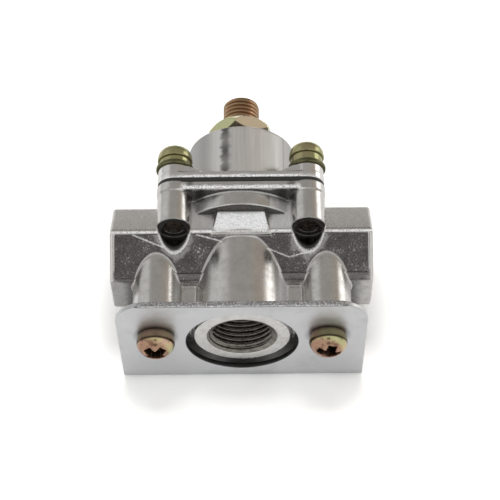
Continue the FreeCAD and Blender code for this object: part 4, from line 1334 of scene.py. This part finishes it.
@once
def zinc_plate():
    s = Shader("zinc_plate")
    rolling = s.noise(420, 5, 0.65, s.stretch((0.25, 1.0, 1.0)))
    spangle = s.noise(90, 3)
    scuffs = s.remap(s.noise(520, 6, 0.7, s.stretch((1.0, 0.3, 0.12))), 0.6, 0.75)
    colour = s.tint(spangle, (0.58, 0.585, 0.60), (0.68, 0.685, 0.70))
    colour = s.tint(s.sums("MULTIPLY", scuffs, 0.35), colour, (0.74, 0.75, 0.76))
    rough = s.remap(rolling, 0.3, 0.7, 0.34, 0.46)
    split = s.node("ShaderNodeSeparateXYZ")
    s.links.new(s.place, split.inputs[0])
    smudge = s.remap(s.noise(85, 5, 0.6), 0.54, 0.70, 0.0, 0.38)
    colour = s.tint(smudge, colour, (0.40, 0.405, 0.41))
    # Painted shade: darker towards the bend at the foot of the plate
    foot = s.remap(split.outputs["Z"], 6.0 * MM, 2.0 * MM, 0.0, 0.55)
    colour = s.tint(s.sums("MULTIPLY", foot, s.remap(spangle, 0.35, 0.6)), colour,
                    (0.24, 0.24, 0.235))
    flecks = s.remap(s.specks(330), 0.07, 0.035, 0.0, 0.45)
    colour = s.tint(flecks, colour, (0.22, 0.22, 0.22))
    top = BRACKET_HIGH[2] * MM
    sheared = s.remap(split.outputs["Z"], top - 0.45 * MM, top - 0.30 * MM)
    grit = s.ramp(s.noise(2600, 3), [(0.38, (0.34, 0.34, 0.345)), (0.52, (0.56, 0.56, 0.57)),
                                    (0.64, (0.95, 0.95, 0.97))])
    colour = s.tint(sheared, colour, grit)
    # Painted shade: a dark line on the front face just under the top edge
    line = s.sums("MULTIPLY", s.remap(split.outputs["Z"], top - 0.70 * MM, top - 0.55 * MM),
                  s.remap(split.outputs["Z"], top - 0.30 * MM, top - 0.42 * MM))
    front = s.remap(split.outputs["Y"], (PLATE_FACE + 0.5) * MM, (PLATE_FACE + 0.3) * MM)
    colour = s.tint(s.sums("MULTIPLY", line, front), colour, (0.16, 0.16, 0.17))
    # Painted shadow: a dark ring on the plate round each bracket screw head
    for sign in (-1, 1):
        rim = s.remap(reach_from(s, sign * BOSS_SIDE, AXIS_HEIGHT + BOSS_LIFT),
                      6.2 * MM, 4.8 * MM, 0.0, 0.5)
        colour = s.tint(rim, colour, (0.10, 0.10, 0.095))
    # Painted shade: a dark ring on the wall of the port hole
    colour = s.tint(s.remap(reach_from(s, 0, AXIS_HEIGHT), 14.7 * MM, 14.55 * MM), colour,
                    (0.06, 0.06, 0.06))
    return s.finish(colour, rough, normal=s.bump(rolling, 0.12, 0.05))


def reach_from(s, side, height):
    """Distance from a line along the regulator, given in millimetres."""
    shift = s.node("ShaderNodeVectorMath", operation="SUBTRACT")
    s.links.new(s.place, shift.inputs[0])
    shift.inputs[1].default_value = (side * MM, 0, height * MM)
    flatten = s.node("ShaderNodeVectorMath", operation="MULTIPLY")
    s.links.new(shift.outputs["Vector"], flatten.inputs[0])
    flatten.inputs[1].default_value = (1, 0, 1)
    length = s.node("ShaderNodeVectorMath", operation="LENGTH")
    s.links.new(flatten.outputs["Vector"], length.inputs[0])
    return length.outputs["Value"]


@once
def yellow_zinc():
    s = Shader("yellow_zinc")
    film = s.noise(230, 3, 0.6)
    colour = s.ramp(film, [(0.28, (0.46, 0.50, 0.25)), (0.42, (0.54, 0.50, 0.27)),
                           (0.52, (0.60, 0.48, 0.27)), (0.62, (0.62, 0.40, 0.31)),
                           (0.74, (0.50, 0.46, 0.29))])
    colour = s.tint(s.sums("MULTIPLY", s.reads("lime"), 0.75), colour, (0.62, 0.66, 0.38))
    colour = s.tint(s.sums("MULTIPLY", s.reads("pink"), 0.85), colour, (1.0, 0.88, 0.66))
    colour = s.tint(s.sums("MULTIPLY", s.reads("olive"), 0.75), colour, (0.33, 0.34, 0.17))
    copper = s.reads("copper")
    blotch = s.remap(s.noise(430, 3), 0.49, 0.58)
    colour = s.tint(s.sums("MULTIPLY", copper, 0.85), colour, (0.40, 0.215, 0.155))
    colour = s.tint(s.sums("MULTIPLY", copper, s.sums("MULTIPLY", blotch, 0.7)), colour,
                    (0.14, 0.07, 0.045))
    # Painted shade in recesses, on head walls and dome tops, on threaded ends and on the nut's
    # collar
    colour = s.tint(s.reads("shade_and_bare"), colour, (0.055, 0.035, 0.022))
    wear = s.noise(1500, 3)
    rough = s.remap(wear, 0.3, 0.7, 0.13, 0.25)
    return s.finish(colour, rough, metallic=0.85, normal=s.bump(wear, 0.06, 0.04))


@once
def olive_zinc():
    s = Shader("olive_zinc")
    film = s.noise(260, 3, 0.6)
    colour = s.ramp(film, [(0.3, (0.09, 0.098, 0.05)), (0.55, (0.17, 0.16, 0.085)),
                           (0.7, (0.13, 0.12, 0.07))])
    return s.finish(colour, s.remap(s.noise(1500, 3), 0.3, 0.7, 0.22, 0.38))


@once
def bronze_zinc():
    s = Shader("bronze_zinc")
    film = s.noise(180, 3, 0.6)
    colour = s.ramp(film, [(0.3, (0.36, 0.29, 0.16)), (0.48, (0.40, 0.27, 0.16)),
                           (0.62, (0.46, 0.27, 0.17)), (0.75, (0.36, 0.29, 0.18))])
    wear = s.noise(1400, 3)
    return s.finish(colour, s.remap(wear, 0.3, 0.7, 0.24, 0.42), normal=s.bump(wear, 0.1, 0.05))


def worn_metal(name, scale, dark, light, smooth, rough):
    """Plain metal with a fine even wear."""
    s = Shader(name)
    wear = s.noise(scale, 4)
    colour = s.tint(wear, dark, light)
    return s.finish(colour, s.remap(wear, 0.3, 0.7, smooth, rough))


@once
def plain_steel():
    return worn_metal("plain_steel", 600, (0.42, 0.42, 0.43), (0.58, 0.58, 0.59), 0.25, 0.4)


@once
def spring_steel():
    return worn_metal("spring_steel", 800, (0.30, 0.31, 0.33), (0.45, 0.46, 0.48), 0.25, 0.4)


@once
def brass():
    return worn_metal("brass", 500, (0.58, 0.45, 0.20), (0.74, 0.60, 0.31), 0.2, 0.36)


@once
def black_rubber():
    s = Shader("black_rubber")
    grain = s.noise(1800, 3)
    colour = s.tint(grain, (0.012, 0.012, 0.012), (0.035, 0.034, 0.033))
    return s.finish(colour, s.remap(grain, 0.3, 0.7, 0.55, 0.8), metallic=0.0,
                    normal=s.bump(grain, 0.5, 0.1))


SLOT_MAKERS = {"zinc_plate": zinc_plate, "plain_steel": plain_steel, "brass": brass,
               "black_rubber": black_rubber}
CARRIED_OVER = {
    "bracket": "zinc_plate",
    "lower_diaphragm_plate": "plain_steel",
    "upper_diaphragm_plate": "plain_steel",
    "diaphragm_nut": "plain_steel",
    "upper_spring_seat": "plain_steel",
    "valve_seat": "brass",
    "valve_seat_gasket": "black_rubber",
    "valve_poppet": "brass",
    "poppet_seal": "black_rubber",
    "spring_retainer": "brass",
}


def dress_carried_over():
    for node, slot in CARRIED_OVER.items():
        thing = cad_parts[node]
        thing.data.materials.clear()
        thing.data.materials.append(SLOT_MAKERS[slot]())
    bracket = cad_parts["bracket"]
    weld = bracket.modifiers.new("weld", "WELD")
    weld.merge_threshold = 0.005 * MM
    bevel = bracket.modifiers.new("edge", "BEVEL")
    bevel.width = 0.3 * MM
    bevel.segments = 3
    bevel.limit_method = "ANGLE"
    bevel.angle_limit = math.radians(40)
    bevel.harden_normals = True


# Floor, light and camera
CAMERA_PLACE = (3.964, -232.559, 377.608)
CAMERA_TILT = 31.281
CAMERA_YAW = 0.242
CAMERA_ROLL = -0.546
FOCAL_PIXELS = 1555.23
PHOTO_PIXELS = 500
SENSOR = 36.0
FLOOR_HALF = 0.5
FLOOR_DROP = 0.0001
LAMP_PLACE = (0, 0.10, 0.70)
LAMP_AIM = (0, 0, 0.02)
LAMP_SIZE = (0.22, 0.16)
LAMP_POWER = 1.6


def make_floor():
    mesh = bpy.data.meshes.new("floor")
    half = FLOOR_HALF
    mesh.from_pydata([(-half, -half, 0), (half, -half, 0), (half, half, 0), (-half, half, 0)],
                     [], [(0, 1, 2, 3)])
    floor = new_object("floor", mesh)
    floor.location.z = -FLOOR_DROP
    mesh.materials.append(floor_paper())


def floor_paper():
    """White to the eye, with the object's own shadow left in it."""
    s = Shader("floor_paper")
    path = s.node("ShaderNodeLightPath")
    paper = s.node("ShaderNodeBsdfDiffuse")
    s.links.new(s.tint(path.outputs["Is Camera Ray"], (0.9, 0.9, 0.9), (1.45, 1.45, 1.45)),
                paper.inputs["Color"])
    glow = s.node("ShaderNodeEmission")
    s.links.new(s.sums("MULTIPLY", seen_in_metal(s, path), 0.1), glow.inputs["Strength"])
    both = s.node("ShaderNodeAddShader")
    s.links.new(paper.outputs[0], both.inputs[0])
    s.links.new(glow.outputs[0], both.inputs[1])
    s.links.new(both.outputs[0], s.nodes["Material Output"].inputs["Surface"])
    return s.material


def seen_in_metal(s, path):
    return s.sums("MAXIMUM", path.outputs["Is Glossy Ray"], path.outputs["Is Transmission Ray"])


# The room: a plain level with softer and brighter stretches. Each has a
# direction, the angles where it is full and where it ends, and its light.
ROOM_LIGHT = (0.38, 0.37, 0.355)
ROOM_STRETCHES = [
    ((0.0, -1.0, 0.0), 78, 92, (0.88, 0.88, 0.87)),
    ((-0.74, 0.52, 0.42), 14, 30, (0.66, 0.66, 0.65)),
    ((0.0, -0.48, 0.877), 6, 14, (0.12, 0.115, 0.11)),
    ((0.0, -0.93, 0.37), 8, 12, (0.14, 0.13, 0.12)),
    ((0.75, 0.65, 0.1), 25, 60, (0.40, 0.355, 0.305)),
    ((0.25, 1.0, 0.0), 12, 30, (0.20, 0.185, 0.165)),
    ((0.83, 0.52, 0.17), 10, 19, (1.9, 1.86, 1.8)),
]


def make_world():
    world = bpy.data.worlds.new("studio")
    bpy.context.scene.world = world
    world.use_nodes = True
    tree = world.node_tree
    direction = tree.nodes.new("ShaderNodeTexCoord").outputs["Generated"]
    colour = (*ROOM_LIGHT, 1)
    for aim, full, end, light in ROOM_STRETCHES:
        share = room_share(tree, direction, Vector(aim).normalized(), full, end)
        colour = mix_light(tree, share, colour, light)
    path = tree.nodes.new("ShaderNodeLightPath")
    seen = mix_light(tree, path.outputs["Is Camera Ray"], colour, (1, 1, 1))
    tree.links.new(seen, tree.nodes["Background"].inputs["Color"])


def mix_light(tree, share, one, other):
    """Light between one level of the room and another."""
    mixer = tree.nodes.new("ShaderNodeMix")
    mixer.data_type = "RGBA"
    tree.links.new(share, mixer.inputs[0])
    if isinstance(one, tuple):
        mixer.inputs[6].default_value = one
    else:
        tree.links.new(one, mixer.inputs[6])
    mixer.inputs[7].default_value = (*other, 1)
    return mixer.outputs[2]


def room_share(tree, direction, aim, full, end):
    closeness = tree.nodes.new("ShaderNodeVectorMath")
    closeness.operation = "DOT_PRODUCT"
    tree.links.new(direction, closeness.inputs[0])
    closeness.inputs[1].default_value = aim
    share = tree.nodes.new("ShaderNodeMapRange")
    share.interpolation_type = "SMOOTHSTEP"
    tree.links.new(closeness.outputs["Value"], share.inputs["Value"])
    share.inputs["From Min"].default_value = math.cos(math.radians(end))
    share.inputs["From Max"].default_value = math.cos(math.radians(full))
    return share.outputs["Result"]


def area_lamp(name, place, aim, size, power):
    lamp = bpy.data.lights.new(name, "AREA")
    lamp.shape = "RECTANGLE"
    lamp.size, lamp.size_y = size
    lamp.energy = power
    thing = bpy.data.objects.new(name, lamp)
    bpy.context.scene.collection.objects.link(thing)
    thing.location = place
    thing.rotation_mode = "QUATERNION"
    thing.rotation_quaternion = (Vector(aim) - Vector(place)).to_track_quat("-Z", "Y")
    return thing


def make_camera():
    data = bpy.data.cameras.new("camera")
    data.sensor_width = SENSOR
    data.lens = FOCAL_PIXELS * SENSOR / PHOTO_PIXELS
    camera = bpy.data.objects.new("camera", data)
    bpy.context.scene.collection.objects.link(camera)
    camera.location = [value * MM for value in CAMERA_PLACE]
    camera.rotation_mode = "ZYX"
    camera.rotation_euler = [math.radians(angle) for angle in
                             (CAMERA_TILT, CAMERA_YAW, CAMERA_ROLL)]
    bpy.context.scene.camera = camera


make_body()
make_bonnet()
make_port_threads()
make_adjuster()
make_nut()
make_small_parts()
make_springs()
make_diaphragm()
dress_carried_over()
make_floor()
make_world()
top_lamp = area_lamp("top", LAMP_PLACE, LAMP_AIM, LAMP_SIZE, LAMP_POWER)
top_lamp.visible_glossy = False
make_camera()
bpy.context.scene.view_settings.view_transform = "Standard"
